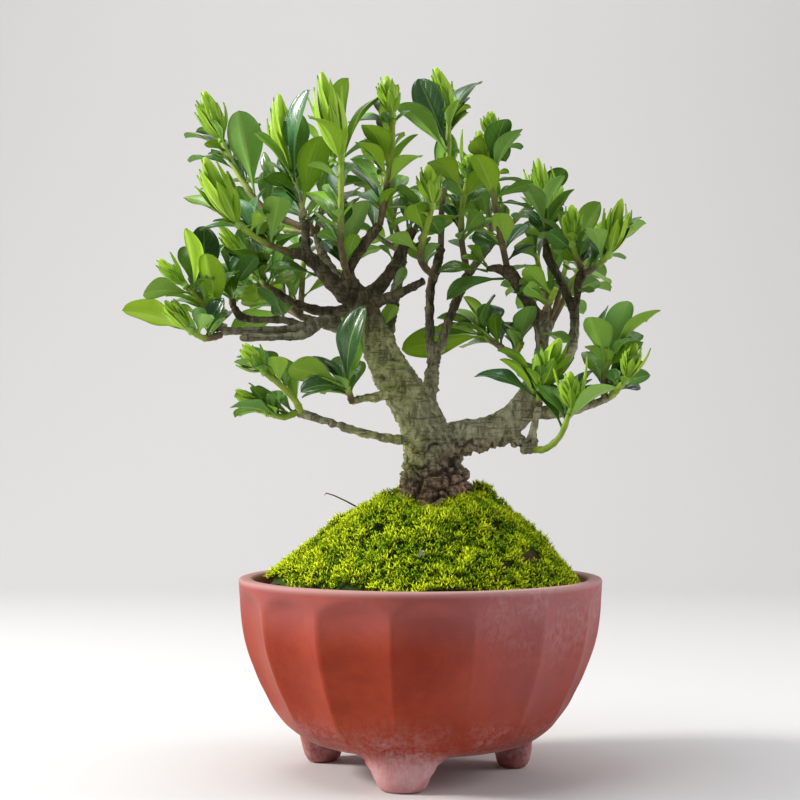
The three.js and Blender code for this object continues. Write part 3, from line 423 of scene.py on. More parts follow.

# %% [markdown]
# A gardenia leaf has a pale midrib and seven or eight pairs of side veins that leave it at a slant and bend
# toward the tip. On the blade's own map the midrib is the line halfway across, and a side vein is wherever
# the length along the leaf, less a share of the distance from the midrib, passes a whole number. The very
# edge of the blade is a thin pale cord, and it also carries a painted highlight where a curled edge catches
# the light, so the group marks that too.

# %% Veins of a leaf
VEIN_PAIRS, VEIN_SLANT, VEIN_BEND = 8.0, 0.3, 0.8
# Widths and bands are shares of the half blade, or of the gap from one side vein to the next.
RIB_AT_FOOT, RIB_AT_TIP, RIB_CORE = 0.13, 0.045, 0.35
VEIN_BAND, VEINS_END, MARGIN_BAND, VEIN_HEIGHT = (0.82, 0.98), (0.66, 0.95), (0.93, 0.99), 0.5

vein_group, bench, given, result = new_group(
    "leaf_veins",
    [("Across", FLOAT, 0.5), ("Along", FLOAT, 0.5)]
    + [("Pairs", FLOAT, VEIN_PAIRS), ("Slant", FLOAT, VEIN_SLANT)],
    [("Midrib", FLOAT), ("Side Veins", FLOAT), ("Margin", FLOAT), ("Height", FLOAT)],
)
off_rib = bench.times(bench.math("ABSOLUTE", bench.math("SUBTRACT", given["Across"], 0.5)), 2.0)
rib_width = bench.step(given["Along"], 0.1, 1.0, RIB_AT_FOOT, RIB_AT_TIP)
midrib = bench.step(off_rib, bench.times(rib_width, RIB_CORE), rib_width, 1.0, 0.0)
slanted = bench.times(bench.math("POWER", off_rib, VEIN_BEND), given["Slant"])
bent = bench.math("SUBTRACT", given["Along"], slanted)
phase = bench.math("FRACT", bench.times(bench.math("ADD", bent, 1.0), given["Pairs"]))
from_vein = bench.times(bench.math("ABSOLUTE", bench.math("SUBTRACT", phase, 0.5)), 2.0)
inside_margin = bench.step(off_rib, *VEINS_END, 1.0, 0.0)
side_veins = bench.times(bench.step(from_vein, *VEIN_BAND), inside_margin)
bench.feed(result["Midrib"], midrib)
bench.feed(result["Side Veins"], side_veins)
bench.feed(result["Margin"], bench.step(off_rib, *MARGIN_BAND))
bench.feed(result["Height"], bench.math("ADD", midrib, bench.times(side_veins, VEIN_HEIGHT)))
print("a third shared effect:", vein_group.name)

# %% [markdown]
# The bowl's clay is unglazed and red-brown. It is dusty and pinkish toward the rim, deep red in the middle,
# and lime has dried on it in pale clouds on the right, round the base and on the feet. The top of the rim gets
# a painted highlight along with its dust, and the right flank a painted pinkish reflection along with its
# dust.
# All of that is colour and roughness over one clay, with a sandy grain in its surface. Each band is a smooth
# step, and noise breaks it up, so that no line shows where a stain begins.

# %% Clay
CLAY_LIGHT, CLAY_DARK = (0.4, 0.055, 0.018), (0.26, 0.027, 0.01)
CLAY_PITS, CLAY_SPECKS = (0.2, 0.02, 0.008), (0.5, 0.16, 0.1)
# The dust colour is dust and, on the right flank, a painted pinkish reflection; the rim colour is dust and a
# painted highlight.
DUST_AND_SHEEN, RIM_DUST_AND_HIGHLIGHT, LIME, FOOT_LIME = (0.4, 0.165, 0.175), (0.6, 0.4, 0.38), (0.64, 0.5, 0.51), (0.74, 0.43, 0.45)
# Bands of the bowl: the heights, or the places across, where each begins to show and where it is full.
RIGHT_SIDE, RIGHT_LIP = (AXIS_X - 0.004, AXIS_X + 0.06), (AXIS_X + 0.01, AXIS_X + 0.06)
DUSTY_TOP, DUSTY_HIGHLIT_RIM, DUSTY_SHEENED_FLANK = (0.066, 0.09), (0.0935, 0.0968), (0.02, 0.05)
LIMY_LIP, LIMY_BASE, LIMY_FEET, BARE_SOLE = (0.05, 0.085), (0.042, 0.018), (0.019, 0.012), (0.0025, 0.006)
PALE_FEET, FRONT_FOOT = (0.021, 0.009), (AXIS_Y - 0.015, AXIS_Y - 0.035)

clay, bench, shader = new_material("fired_clay", Specular_IOR_Level=0.15)
place = bench.place()
along_x, along_y, up = bench.parts(place)
grain = bench.use(grain_group, Place=place, Size=1500.0)
patches = mottled(bench, place, 24.0, 0.2)
clouds = mottled(bench, place, 42.0, 0.35)
crusts = mottled(bench, place, 260.0, 0.7)
pitted = mottled(bench, place, 150.0, 0.3)
drawn_out = bench.stretched(place, (1, 1, 0.45))
threads = mottled(bench, drawn_out, 620.0, 0.8)
fired = bench.blend(patches, CLAY_LIGHT, CLAY_DARK)
fired = bench.blend(bench.times(pitted, 0.3), fired, CLAY_PITS)
fired = bench.blend(bench.times(grain["Specks"], 0.5), fired, CLAY_SPECKS)
# The right flank takes the pinkish dust colour: partly dust, partly a painted pinkish reflection.
flank_dust_and_sheen = bench.times(bench.step(along_x, *RIGHT_SIDE), bench.step(up, *DUSTY_SHEENED_FLANK), 0.34)
dust_and_sheen = bench.math("ADD", bench.times(bench.step(up, *DUSTY_TOP), 0.34), flank_dust_and_sheen)
# The top of the rim is painted paler: partly dust, partly a painted highlight.
rim_dust_and_highlight = bench.step(up, *DUSTY_HIGHLIT_RIM)
dusty_and_sheened = bench.blend(bench.times(rim_dust_and_highlight, 0.55), bench.blend(dust_and_sheen, fired, DUST_AND_SHEEN), RIM_DUST_AND_HIGHLIGHT)
in_front = bench.step(along_y, *FRONT_FOOT, 0.3, 1.0)
foot_wash = bench.times(bench.step(up, *PALE_FEET), in_front, bench.step(clouds, 0.0, 1.0, 0.36, 0.72))
dusty_and_sheened = bench.blend(foot_wash, dusty_and_sheened, FOOT_LIME)
lip_band = bench.times(bench.step(up, *LIMY_LIP), bench.step(along_x, *RIGHT_LIP), 0.5)
base_band = bench.times(bench.step(up, *LIMY_BASE), 0.62)
foot_band = bench.times(bench.step(up, *LIMY_FEET), bench.step(up, *BARE_SOLE))
lime_where = bench.math("MAXIMUM", bench.math("MAXIMUM", lip_band, base_band), foot_band)
patchy = bench.math("ADD", bench.times(crusts, 0.4), bench.times(threads, 0.35))
lime = bench.times(clouds, lime_where, patchy)
bench.feed(shader["Base Color"], bench.blend(bench.times(lime, 0.8), dusty_and_sheened, LIME))
chalky = bench.math("MAXIMUM", bench.math("MAXIMUM", lime, rim_dust_and_highlight), bench.times(dust_and_sheen, 0.6))
bench.feed(shader["Roughness"], bench.math("ADD", 0.46, bench.times(chalky, 0.4)))
crusted = bench.bump(lime, 0.0003, 0.5)
bench.feed(shader["Normal"], bench.bump(grain["Height"], 0.00025, 0.4, crusted))
print("clay:", len(clay.node_tree.nodes), "nodes")

# %% [markdown]
# The bowl is a thrown shape: one outline turned round the axis, with fifteen hollow flutes pressed into its
# wall between sharp ridges. Each flute is a shallow parabola in plan, deepest in its middle, and its top is
# an arch just under the lip. The sides are counted so that a ridge always falls on a row of points.

# %% Outline of the bowl
FLUTES = 15
FLUTE_DEPTH = 3.8
FLUTE_TURN = math.radians(-8.3)
FLUTE_TOP = 93.5
FLUTE_ARCH = 5
FLUTE_FULL = (85.5, 46)
FLUTE_FADE = 17
BOWL_SIDES = 20 * FLUTES
BOWL_OUTSIDE = [
    (8, 15), (24, 14.6), (40, 14.5), (47, 15), (52, 16), (57.5, 18.1), (62, 21), (66.4, 24.4), (70, 28.5),
    (73.8, 33.8), (77, 40), (80.2, 46.2), (83, 53), (85.5, 59.6), (87.5, 66.5), (88.7, 73), (89.4, 79),
    (89.8, 84.5), (90, 90), (90.1, 93),
]
BOWL_RIM = [(90.25, 94.3), (90.3, 95.5), (90, 96.3), (89.3, 96.8)]
BOWL_RIM += [(86.8, 97), (84.4, 96.8), (83.4, 96.3), (83, 95.5)]
BOWL_INSIDE = [(82.8, 90), (82.5, 82), (80.2, 66), (76.5, 51), (70, 38), (61, 27.5)]
BOWL_INSIDE += [(45, 21), (24, 20.6), (8, 21)]
print("bowl:", 2 * BOWL_RIM[1][0], "mm wide,", FLUTES, "flutes,", BOWL_SIDES, "sides")


def smoothstep(value, low, high):
    share = np.clip((value - low) / (high - low), 0, 1)
    return share * share * (3 - 2 * share)


def curve_weights(t):
    """Shares of start, start slope, end and end slope on a smooth curve at t."""
    return 2 * t**3 - 3 * t**2 + 1, t**3 - 2 * t**2 + t, -2 * t**3 + 3 * t**2, t**3 - t**2


def fine_outline(points, steps):
    """More points along a polyline, on a smooth curve through them."""
    curve = []
    for i in range(len(points) - 1):
        before = np.array(points[max(i - 1, 0)], float)
        a, b = np.array(points[i], float), np.array(points[i + 1], float)
        after = np.array(points[min(i + 2, len(points) - 1)], float)
        for t in np.arange(steps) / steps:
            m0, m1 = (b - before) / 2, (after - a) / 2
            h = curve_weights(t)
            curve.append(h[0] * a + h[1] * m0 + h[2] * b + h[3] * m1)
    curve.append(np.array(points[-1], float))
    return np.array(curve)


def flute_depth(turn, height):
    """How deep the flutes are pressed in at an angle from +X and a height."""
    place = FLUTES * (turn + np.pi / 2 - FLUTE_TURN) / (2 * np.pi)
    from_middle = 2 * (place % 1) - 1
    top = FLUTE_TOP - FLUTE_ARCH * from_middle**2
    above = smoothstep(top - height, 0, FLUTE_TOP - FLUTE_FULL[0])
    below = smoothstep(height, FLUTE_FADE, FLUTE_FULL[1])
    return FLUTE_DEPTH * (1 - from_middle**2) * above * below


# %% [markdown]
# The feet are tongues of clay. Each is a stack of ovals that widens upward, and its last ovals follow the
# underside of the bowl, so foot and bowl flow together in a fillet instead of meeting at a hard line.

# %% Feet
# Each foot has a place on the ground and the way it points. Each oval of it has a height, half widths across
# and along that way, and a lean; the ovals of the fillet are measured down from the bowl instead.
FEET = [((-8.5, -51.5), -99.4), ((-50, 30), 149), ((47, 16), 19)]
FOOT_SIDES = 48
FOOT_OVALS = [
    (0, 7.4, 4.6, -0.4), (0.15, 8.7, 5.7, -0.4), (0.7, 9.9, 6.6, -0.4), (1.7, 10.9, 7.3, -0.4),
    (4.2, 12.3, 7.9, -0.2), (7, 13.7, 8.3, 0), (9.8, 15.2, 8.6, -0.3), (12.4, 17, 9, -0.8),
]
FOOT_FILLET = [(2.4, 18.6, 9.6, -1.2), (1.1, 20.6, 10.4, -1.6), (0.2, 23.4, 11.6, -2), (-0.6, 26, 12.6, -2.2)]
FOOT_LUMP = 0.02


def underside(radius):
    outline = np.array(BOWL_OUTSIDE)
    return np.interp(radius, outline[:, 0], outline[:, 1])


def add_foot(stock, at, turn):
    out = math.radians(turn)
    around = 2 * np.pi * np.arange(FOOT_SIDES) / FOOT_SIDES
    rings = []
    for number, (height, across, along, lean) in enumerate(FOOT_OVALS + FOOT_FILLET):
        reach = np.cos(around) * along + lean
        aside = np.sin(around) * across
        lump = 1 + FOOT_LUMP * np.sin(3 * around + height)
        x = at[0] + math.cos(out) * reach * lump - math.sin(out) * aside * lump
        y = at[1] + math.sin(out) * reach * lump + math.cos(out) * aside * lump
        level = np.full(FOOT_SIDES, float(height))
        if number >= len(FOOT_OVALS):
            level = np.maximum(underside(np.hypot(x, y)) - height, FOOT_OVALS[-1][0])
        rings.append(np.stack([x, y, level], axis=-1))
    points = np.concatenate(rings)
    sole = [np.arange(FOOT_SIDES)[::-1][None, :]]
    stock.add(points * MM + np.array(BOWL_AXIS), [grid(len(rings), FOOT_SIDES, closed=True)] + sole)


# %% [markdown]
# Wall, rim and inside are one closed grid: each place of the outline becomes a ring of points. Only the
# outer wall gets the flutes. A thrown wall is never quite round, so two slow waves move it a little.

# %% The bowl
BROAD_WAVE, FINE_WAVE = 0.12, 0.07


def build_bowl():
    stock = Stock()
    outside = fine_outline(BOWL_OUTSIDE, 3)
    outline = np.vstack([outside, fine_outline(BOWL_RIM, 2), fine_outline(BOWL_INSIDE, 1)])
    turn = FLUTE_TURN - np.pi / 2 + 2 * np.pi * np.arange(BOWL_SIDES) / BOWL_SIDES
    radius, height = outline[:, :1], outline[:, 1:]
    pressed = flute_depth(turn[None, :], height)
    pressed[len(outside):] = 0
    wobble = BROAD_WAVE * np.sin(3 * turn + 1)[None, :] + FINE_WAVE * np.sin(7 * turn + 2 + height / 13)
    thrown = np.arange(len(outline))[:, None] < len(outside) + 2 * len(BOWL_RIM)
    radius = radius - pressed + wobble * thrown
    places = [radius * np.cos(turn), radius * np.sin(turn), height + 0 * turn]
    points = np.stack(places, axis=-1).reshape(-1, 3)
    join = np.arange(BOWL_SIDES)
    after = (join + 1) % BOWL_SIDES
    last = (len(outline) - 1) * BOWL_SIDES
    closing = np.stack([last + join, last + after, after, join], axis=-1)
    stock.add(points * MM + np.array(BOWL_AXIS), [grid(len(outline), BOWL_SIDES, closed=True), closing])
    for foot in FEET:
        add_foot(stock, *foot)
    return make_piece("clay_bowl", stock, [clay], ["pot"])


build_bowl()
print("bowl:", triangles_made["clay_bowl"], "triangles")

# %% [markdown]
# The mound is soil, heaped from the rim up to the trunk. Only a dark crumbly ring of it shows between the
# moss and the clay. Both the soil and the moss are laid out on the same rings: circles round the bowl's axis
# that drift toward the trunk as they shrink. Height comes from one outline, so moss always sits on soil.

# %% The mound's rings
TRUNK_X = 9
HOLE_RADIUS = 21
MOUND_EDGE = 77
SOIL_EDGE = 81.4
SOIL_EDGE_HEIGHT = 89.0
MOUND = [(HOLE_RADIUS, 131.5), (35, 125), (51, 113.5), (66, 100.5), (MOUND_EDGE, 91.5)]
MOSS_THICKNESS = [5.4, 5.4, 5.2, 4.8, 3.2, 0.5]


def mound_place(radius, turn, lift=0.0):
    """Points of the mound, for rings given by radius and angle. lift is how much of the moss lies on it."""
    rings = np.array([ring for ring, _ in MOUND] + [SOIL_EDGE], float)
    heights = np.array([height for _, height in MOUND] + [SOIL_EDGE_HEIGHT], float)
    share = np.clip((radius - HOLE_RADIUS) / (MOUND_EDGE - HOLE_RADIUS), 0, 1)
    x = radius * np.cos(turn) + TRUNK_X * (1 - share)
    y = radius * np.sin(turn)
    z = np.interp(radius, rings, heights) + lift * np.interp(radius, rings, MOSS_THICKNESS)
    return x, y, z


SEED_STEPS = (17.3, 5.1, 9.7)


def noisy(points, scale, seed):
    """A smooth random number from -1 to 1 for each point given in millimetres."""
    shift = Vector([seed * step for step in SEED_STEPS])
    return np.array([noise.noise(Vector(point) * scale + shift) for point in points])


print("the mound falls from", MOUND[0][1], "to", SOIL_EDGE_HEIGHT, "mm")

# %% [markdown]
# Potting soil is nearly black when damp, with paler crumbs. It fills the bowl as one body: the mound on top,
# a wall that follows the bowl's inside, and a floor. Noise at two sizes roughens its top.

# %% Soil
SOIL_SIDES = 180
SOIL_RINGS = 44
AXIS_RADIUS = 0.5
FIRST_RING, LAST_RING = 14, SOIL_EDGE - 0.2
SOIL_WALL = [(SOIL_EDGE, 84), (76.2, 52), (61.3, 28.8), (44.7, 21.7), (AXIS_RADIUS, 21.7)]
# Lumps and crumbs of the soil: height in millimetres, how fine, and the seed.
SOIL_ROUGHNESS = [(1.1, 0.35, 3), (0.5, 1.1, 4)]
DAMP_SOIL, DRY_CRUMBS = (0.022, 0.015, 0.01), (0.075, 0.05, 0.032)

dirt, bench, shader = new_material("potting_soil", Roughness=0.95)
place = bench.place()
grain = bench.use(grain_group, Place=place, Size=700.0)
crumbs = mottled(bench, place, 380.0, 0.5)
bench.feed(shader["Base Color"], bench.blend(crumbs, DAMP_SOIL, DRY_CRUMBS))
bench.feed(shader["Normal"], bench.bump(grain["Height"], 0.0008, 0.8))


def build_soil():
    stock = Stock()
    turn = 2 * np.pi * np.arange(SOIL_SIDES) / SOIL_SIDES
    radii = np.concatenate([[AXIS_RADIUS], np.linspace(FIRST_RING, LAST_RING, SOIL_RINGS)])
    ring, around = np.meshgrid(radii, turn, indexing="ij")
    x, y, z = mound_place(ring, around)
    z = np.where(ring < HOLE_RADIUS, MOUND[1][1], z)
    top = np.stack([x, y, z], axis=-1).reshape(-1, 3)
    top[:, 2] += sum(height * noisy(top, scale, seed) for height, scale, seed in SOIL_ROUGHNESS)
    circle = np.stack([np.cos(turn), np.sin(turn), 0 * turn], axis=-1)
    wall = [circle * radius + np.array([0, 0, height]) for radius, height in SOIL_WALL]
    points = np.concatenate([top] + wall)
    rows = len(radii) + len(SOIL_WALL)
    stock.add(points * MM + np.array(BOWL_AXIS), [grid(rows, SOIL_SIDES, closed=True, flip=True)])
    return make_piece("soil_mound", stock, [dirt], ["soil"])


build_soil()
print("soil:", triangles_made["soil_mound"], "triangles")

# %% [markdown]
# Moss is a carpet of tiny upright shoots, each a little feather: a thin stem, two whorls of narrow leaves
# and a pointed crown. A lumpy felt lies under them, so that no gap shows soil where there should be none. It
# humps beside the trunk, and in a few thin spots the soil does show.

# %% The ground under the moss
MOSS_HUMPS = [((31, 6), 10, 8), ((-16, 3), 9, 4.5), ((10, 26), 16, 3), ((9, -24), 15, -5)]
THIN_SPOTS = [((55, 106), 5.5), ((43, 101), 4), ((-20, 118), 3.5), ((37, 121), 3.5)]
LUMP_HEIGHT = 0.8
MOSS_SINK = 1.4
HUMP_SPREAD = 0.6
SPOT_STRETCH, SPOT_CORE, SPOT_RIM = 1.2, 0.6, 1.15
# Swells of the moss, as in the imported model: wavelengths, and how far each line of swells bends.
ACROSS_LENGTH, ACROSS_BEND, ACROSS_BEND_LENGTH = 7.1, 1.6, 11
BACK_LENGTH, BACK_BEND, BACK_BEND_LENGTH = 6.3, 1.4, 9
SLANTED_SHARE, SLANTED_LENGTH = 0.7, 4.2
MOSS_REACH, MOSS_DRIFT, MOSS_SCALLOP, MOSS_FRAY = 76.5, 2.3, 0.9, 0.6


def moss_lumps(x, y):
    across = np.sin(x / ACROSS_LENGTH + ACROSS_BEND * np.sin(y / ACROSS_BEND_LENGTH))
    back = np.sin(y / BACK_LENGTH + BACK_BEND * np.sin(x / BACK_BEND_LENGTH + 1))
    lumps = LUMP_HEIGHT * (across + back + SLANTED_SHARE * np.sin((x - y) / SLANTED_LENGTH))
    for (hump_x, hump_y), size, height in MOSS_HUMPS:
        lumps = lumps + height * np.exp(-((x - hump_x) ** 2 + (y - hump_y) ** 2) / (HUMP_SPREAD * size**2))
    return lumps


def moss_surface(radius, turn):
    x, y, z = mound_place(radius, turn, 1.0)
    return x, y, z - MOSS_SINK + moss_lumps(x, y)


def moss_edge(turn):
    ragged = MOSS_SCALLOP * np.sin(8 * turn + 2) + MOSS_FRAY * np.sin(17 * turn)
    return MOSS_REACH + MOSS_DRIFT * np.cos(turn) + ragged


def thinness(x, y, z):
    """From 0 where the moss is whole to 1 in the middle of a spot where soil shows through it."""
    view_x, view_z = as_seen(x, y, z)
    thin = np.zeros_like(x)
    for (spot_x, spot_z), size in THIN_SPOTS:
        away = np.hypot((view_x - spot_x), (view_z - spot_z) * SPOT_STRETCH) / size
        thin = np.maximum(thin, np.where(y < 0, 1 - smoothstep(away, SPOT_CORE, SPOT_RIM), 0))
    return thin


print(len(MOSS_HUMPS), "humps and", len(THIN_SPOTS), "thin spots in the moss")

# %% [markdown]
# One finish serves felt and shoots. "along" runs from the dark foot of a shoot to its lime crown, "tone"
# says how light the shoot is, painted shade included, and "tint" turns the felt brown where soil shows through
# it. The dark foot colour, which the felt takes too, is partly the moss's own darker base and partly painted
# shade between the shoots. Moss scatters light like velvet, so it gets almost no gloss.

# %% Moss finish
# The foot colours are the moss's own darker base and painted shade between the shoots.
MOSS_FEET_AND_SHADE = (0.02, 0.05, 0.0015), (0.05, 0.1, 0.003)
MOSS_CROWNS = (0.27, 0.5, 0.006), (0.86, 1.0, 0.02)
BARE_SOIL = (0.06, 0.036, 0.015)
CROWN_FROM, CROWN_FULL = 0.14, 0.85

moss_green, bench, shader = new_material("moss_carpet", Roughness=0.8, Specular_IOR_Level=0.15)
place = bench.place()
patches = mottled(bench, place, 55.0, 0.3)
tip_share = bench.attribute("along")
light = bench.attribute("tone")
foot_colour_and_shade = bench.blend(patches, *MOSS_FEET_AND_SHADE)
tip_colour = bench.blend(light, *MOSS_CROWNS)
grown = bench.blend(bench.step(tip_share, CROWN_FROM, CROWN_FULL), foot_colour_and_shade, tip_colour)
bench.feed(shader["Base Color"], bench.blend(bench.attribute("tint"), grown, BARE_SOIL))
print("moss finish:", len(moss_green.node_tree.nodes), "nodes")

# %% Moss felt
FELT_SIDES = 200
FELT_RINGS = 44
FELT_INNER = HOLE_RADIUS - 3
EDGE_SHARE, EDGE_DROP = 0.93, 3.4
THIN_DROP = 1.2
FELT_GRAIN, FELT_GRAIN_SCALE = 0.5, 0.5


def build_moss_felt():
    felt = Stock()
    turn = 2 * np.pi * np.arange(FELT_SIDES) / FELT_SIDES
    share = np.linspace(0, 1, FELT_RINGS)[:, None]
    radius = FELT_INNER + (moss_edge(turn)[None, :] - FELT_INNER) * share
    x, y, z = moss_surface(radius, np.broadcast_to(turn, radius.shape))
    z = z - EDGE_DROP * np.clip((share - EDGE_SHARE) / (1 - EDGE_SHARE), 0, 1)
    thin = thinness(x, y, z)
    points = np.stack([x, y, z - THIN_DROP * thin], axis=-1).reshape(-1, 3)
    points[:, 2] += FELT_GRAIN * noisy(points, FELT_GRAIN_SCALE, 5)
    faces = [grid(FELT_RINGS, FELT_SIDES, closed=True, flip=True)]
    # The felt takes the dark foot colour: the moss's own darker base and painted shade between the shoots.
    felt.add(points * MM + np.array(BOWL_AXIS), faces, tone=0.1, tint=thin.ravel())
    return make_piece("moss_felt", felt, [moss_green], ["moss"])


build_moss_felt()
print("felt:", triangles_made["moss_felt"], "triangles")

# %% [markdown]
# Thousands of shoots stand on the felt, set by a seeded draw. Each is seven slender spikes of four
# triangles: a stem with its crown, and two whorls of three leaves. They grow in clumps, so a slow random
# number lengthens and lightens them, and they stand between upright and square to the ground.

# %% Moss shoots
MOSS_SHOOTS = 10000
MOSS_SEED = 4021
WHORL_LEAVES = 3
WHORLS = ((0.1, 0.5), (0.38, 0.86))
SHOOT_HEIGHT = (2.8, 5.3)
BLADE_WIDTH, BLADE_OUT, BLADE_REACH, BLADE_LIGHTER = 0.42, 0.5, 0.34, 0.14
STEM_WIDTH, STEM_BELLY, STEM_BELLY_SHARE = 0.22, 0.55, 0.45
SHOOTS_INNER = HOLE_RADIUS - 2
SLOPE_STEP = 0.8
SQUARE_TO_GROUND, UPRIGHT, SPRAWL = 0.75, 0.55, 0.3
CLUMP_SCALE, CLUMP_SEED, CLUMP_LENGTHENS, CLUMP_LIGHTENS = 0.14, 11, 0.45, 0.9
SHOOT_TONE, SHOOT_TONE_SPREAD, SHADED_TO_RIGHT, LIGHTER_BELOW = 0.52, 0.2, 0.0022, 0.25
LOW_MOSS, LOW_MOSS_BAND = 95, (-12, 5)


def spikes(foot, belly, tip, wide):
    """Four corners of a slender closed spike from foot to tip."""
    return [foot, belly + wide, belly - wide, tip]


def shoot_places(draws, count):
    turn = draws.uniform(0, 2 * np.pi, count)
    inner, outer = SHOOTS_INNER, moss_edge(turn)
    radius = np.sqrt(draws.uniform(0, 1, count) * (outer**2 - inner**2) + inner**2)
    here = np.stack(moss_surface(radius, turn), axis=-1)
    slope = np.stack(moss_surface(radius + SLOPE_STEP, turn), axis=-1) - here
    aside = np.stack(moss_surface(radius, turn + SLOPE_STEP / radius), axis=-1) - here
    normal = np.cross(slope, aside)
    normal /= np.linalg.norm(normal, axis=1, keepdims=True)
    keep = draws.uniform(0, 1, count) > thinness(*here.T)
    return here[keep], normal[keep]


def moss_shoots(draws, here, normal):
    count = len(here)
    clump = noisy(here, CLUMP_SCALE, CLUMP_SEED)
    sprawl = SPRAWL * draws.normal(0, 1, normal.shape)
    upright = normal * SQUARE_TO_GROUND + np.array([0, 0, UPRIGHT]) + sprawl
    upright /= np.linalg.norm(upright, axis=1, keepdims=True)
    first = np.cross(upright, [0.3, 0.9, 0.1])
    first /= np.linalg.norm(first, axis=1, keepdims=True)
    second = np.cross(upright, first)
    height = draws.uniform(*SHOOT_HEIGHT, count) * (1 + CLUMP_LENGTHENS * clump)
    shaded_tones = SHOOT_TONE + CLUMP_LIGHTENS * clump + SHOOT_TONE_SPREAD * draws.normal(0, 1, count)
    # Shoots further right are painted darker: painted shade away from the light on the left.
    shaded_tones = shaded_tones - SHADED_TO_RIGHT * here[:, 0]
    shaded_tones = np.clip(shaded_tones + LIGHTER_BELOW * smoothstep(LOW_MOSS - here[:, 2], *LOW_MOSS_BAND), 0, 1)
    start = draws.uniform(0, 2 * np.pi, count)
    crown = here + upright * height[:, None]
    belly = here + upright * (height * STEM_BELLY)[:, None]
    corners = spikes(here - upright, belly, crown, first * STEM_WIDTH)
    shares = [0.0, STEM_BELLY_SHARE, STEM_BELLY_SHARE, 1.0]
    for whorl, (low, high) in enumerate(WHORLS):
        for leaf in range(WHORL_LEAVES):
            angle = start + 2 * np.pi * (leaf + 0.5 * whorl) / WHORL_LEAVES
            out = np.cos(angle)[:, None] * first + np.sin(angle)[:, None] * second
            wide = np.cross(out, upright) * BLADE_WIDTH
            foot = here + upright * (height * low)[:, None]
            belly = here + upright * (height * (0.6 * low + 0.4 * high))[:, None] + out * BLADE_OUT
            tip = here + upright * (height * high)[:, None] + out * (BLADE_REACH * height)[:, None]
            corners += spikes(foot, belly, tip, wide)
            shares += [low, 0.5 * (low + high), 0.5 * (low + high), high + BLADE_LIGHTER]
    points = np.stack(corners, axis=1).reshape(-1, 3)
    return points, np.tile(shares, count), np.repeat(shaded_tones, len(shares)), len(shares)


def build_moss_shoots(name, facing_eye):
    draws = np.random.default_rng(MOSS_SEED)
    here, normal = shoot_places(draws, MOSS_SHOOTS)
    points, shares, shaded_tones, corners = moss_shoots(draws, here, normal)
    chosen = (here[:, 1] < 0) == facing_eye
    keep = np.repeat(chosen, corners)
    base = 4 * np.arange(chosen.sum() * corners // 4)[:, None]
    faces = [base + np.array(face) for face in ([0, 1, 3], [0, 3, 2], [0, 2, 1], [1, 2, 3])]
    stock = Stock()
    stock.add(points[keep] * MM + np.array(BOWL_AXIS), faces, tone=shaded_tones[keep], tint=0.0, along=shares[keep])
    make_piece(name, stock, [moss_green])
    print(name, triangles_made[name], "triangles")


build_moss_shoots("moss_front", True)
build_moss_shoots("moss_back", False)

# %% [markdown]
# Trunk, limbs and twigs are one living body. Each run is a tube along a smooth curve, thicker and thinner as
# the old wood grew. A run is its points in the front view, each with its depth, and the radii along it.

# %% Trunk and limbs
WOOD = [
    ([(9, 104.4, 0), (8.9, 122, 0), (8.2, 137, 0), (7, 150, 0)], [20, 20, 18.6, 15.8]),
    ([(7.6, 142, 0), (5, 160.5, 0), (2.2, 170, 1), (-2, 180, 2), (-9.8, 191.5, 2), (-17.8, 205.5, 3),
      (-23, 218, 3), (-28, 230, 4), (-31.5, 239, 4)], [16.6, 13.4, 12, 11.2, 10.6, 9.2, 7.9, 7.5, 6.6]),
    ([(10, 161, 0), (18, 165.5, -2), (30, 167.5, -5), (42.5, 172.5, -8), (52, 182, -9), (57, 194, -8),
      (60.5, 206, -5), (61, 214, -4), (58.5, 226, -2), (53, 236, 0), (47.5, 245.5, 2), (43.5, 251.5, 3)],
     [9.5, 8.7, 8.3, 7.9, 7, 5, 3.7, 3.3, 3.1, 3.1, 3.3, 2.9]),
]
print(len(WOOD), "runs for the trunk and its limbs")

# %% Twigs on the right
WOOD += [
    ([(46, 246.5, 2), (40, 250.5, 2), (33, 250.8, 3)], [3, 2.5, 1.5]),
    ([(61, 213, -5), (62, 222, -10), (62.3, 229.5, -14)], [2.9, 2.4, 2.5]),
    ([(55, 188, -6), (66, 197, 6), (75, 209, 15), (77.3, 221, 18), (77, 231, 18)],
     [4.2, 3.4, 3, 2.5, 2.6]),
    ([(77, 229, 18), (72, 241, 20), (68, 249, 20), (64, 256.5, 18), (63, 263, 18)],
     [2.4, 2.2, 2.3, 2.5, 2]),
    ([(77, 229, 18), (78.7, 237, 16), (79.5, 244.5, 12), (82, 249.5, 10)], [2.3, 1.9, 2.5, 2.8]),
    ([(52, 179, -9), (71.5, 179, -18), (85, 182.5, -20), (96, 187, -20)], [4.2, 2.7, 2, 1.9]),
    ([(44, 171, -8), (51, 163, -14), (57, 160.5, -18)], [4.4, 3, 2.9]),
    ([(55, 161, -17), (57.3, 173, -22), (59.5, 182.5, -24)], [2.6, 1.9, 1.8]),
    ([(57, 195, -6), (53, 201.5, 2), (46, 208, 12), (42.5, 210, 18)], [2.8, 2.1, 2.4, 1.9]),
]
print(len(WOOD), "runs with the twigs on the right")

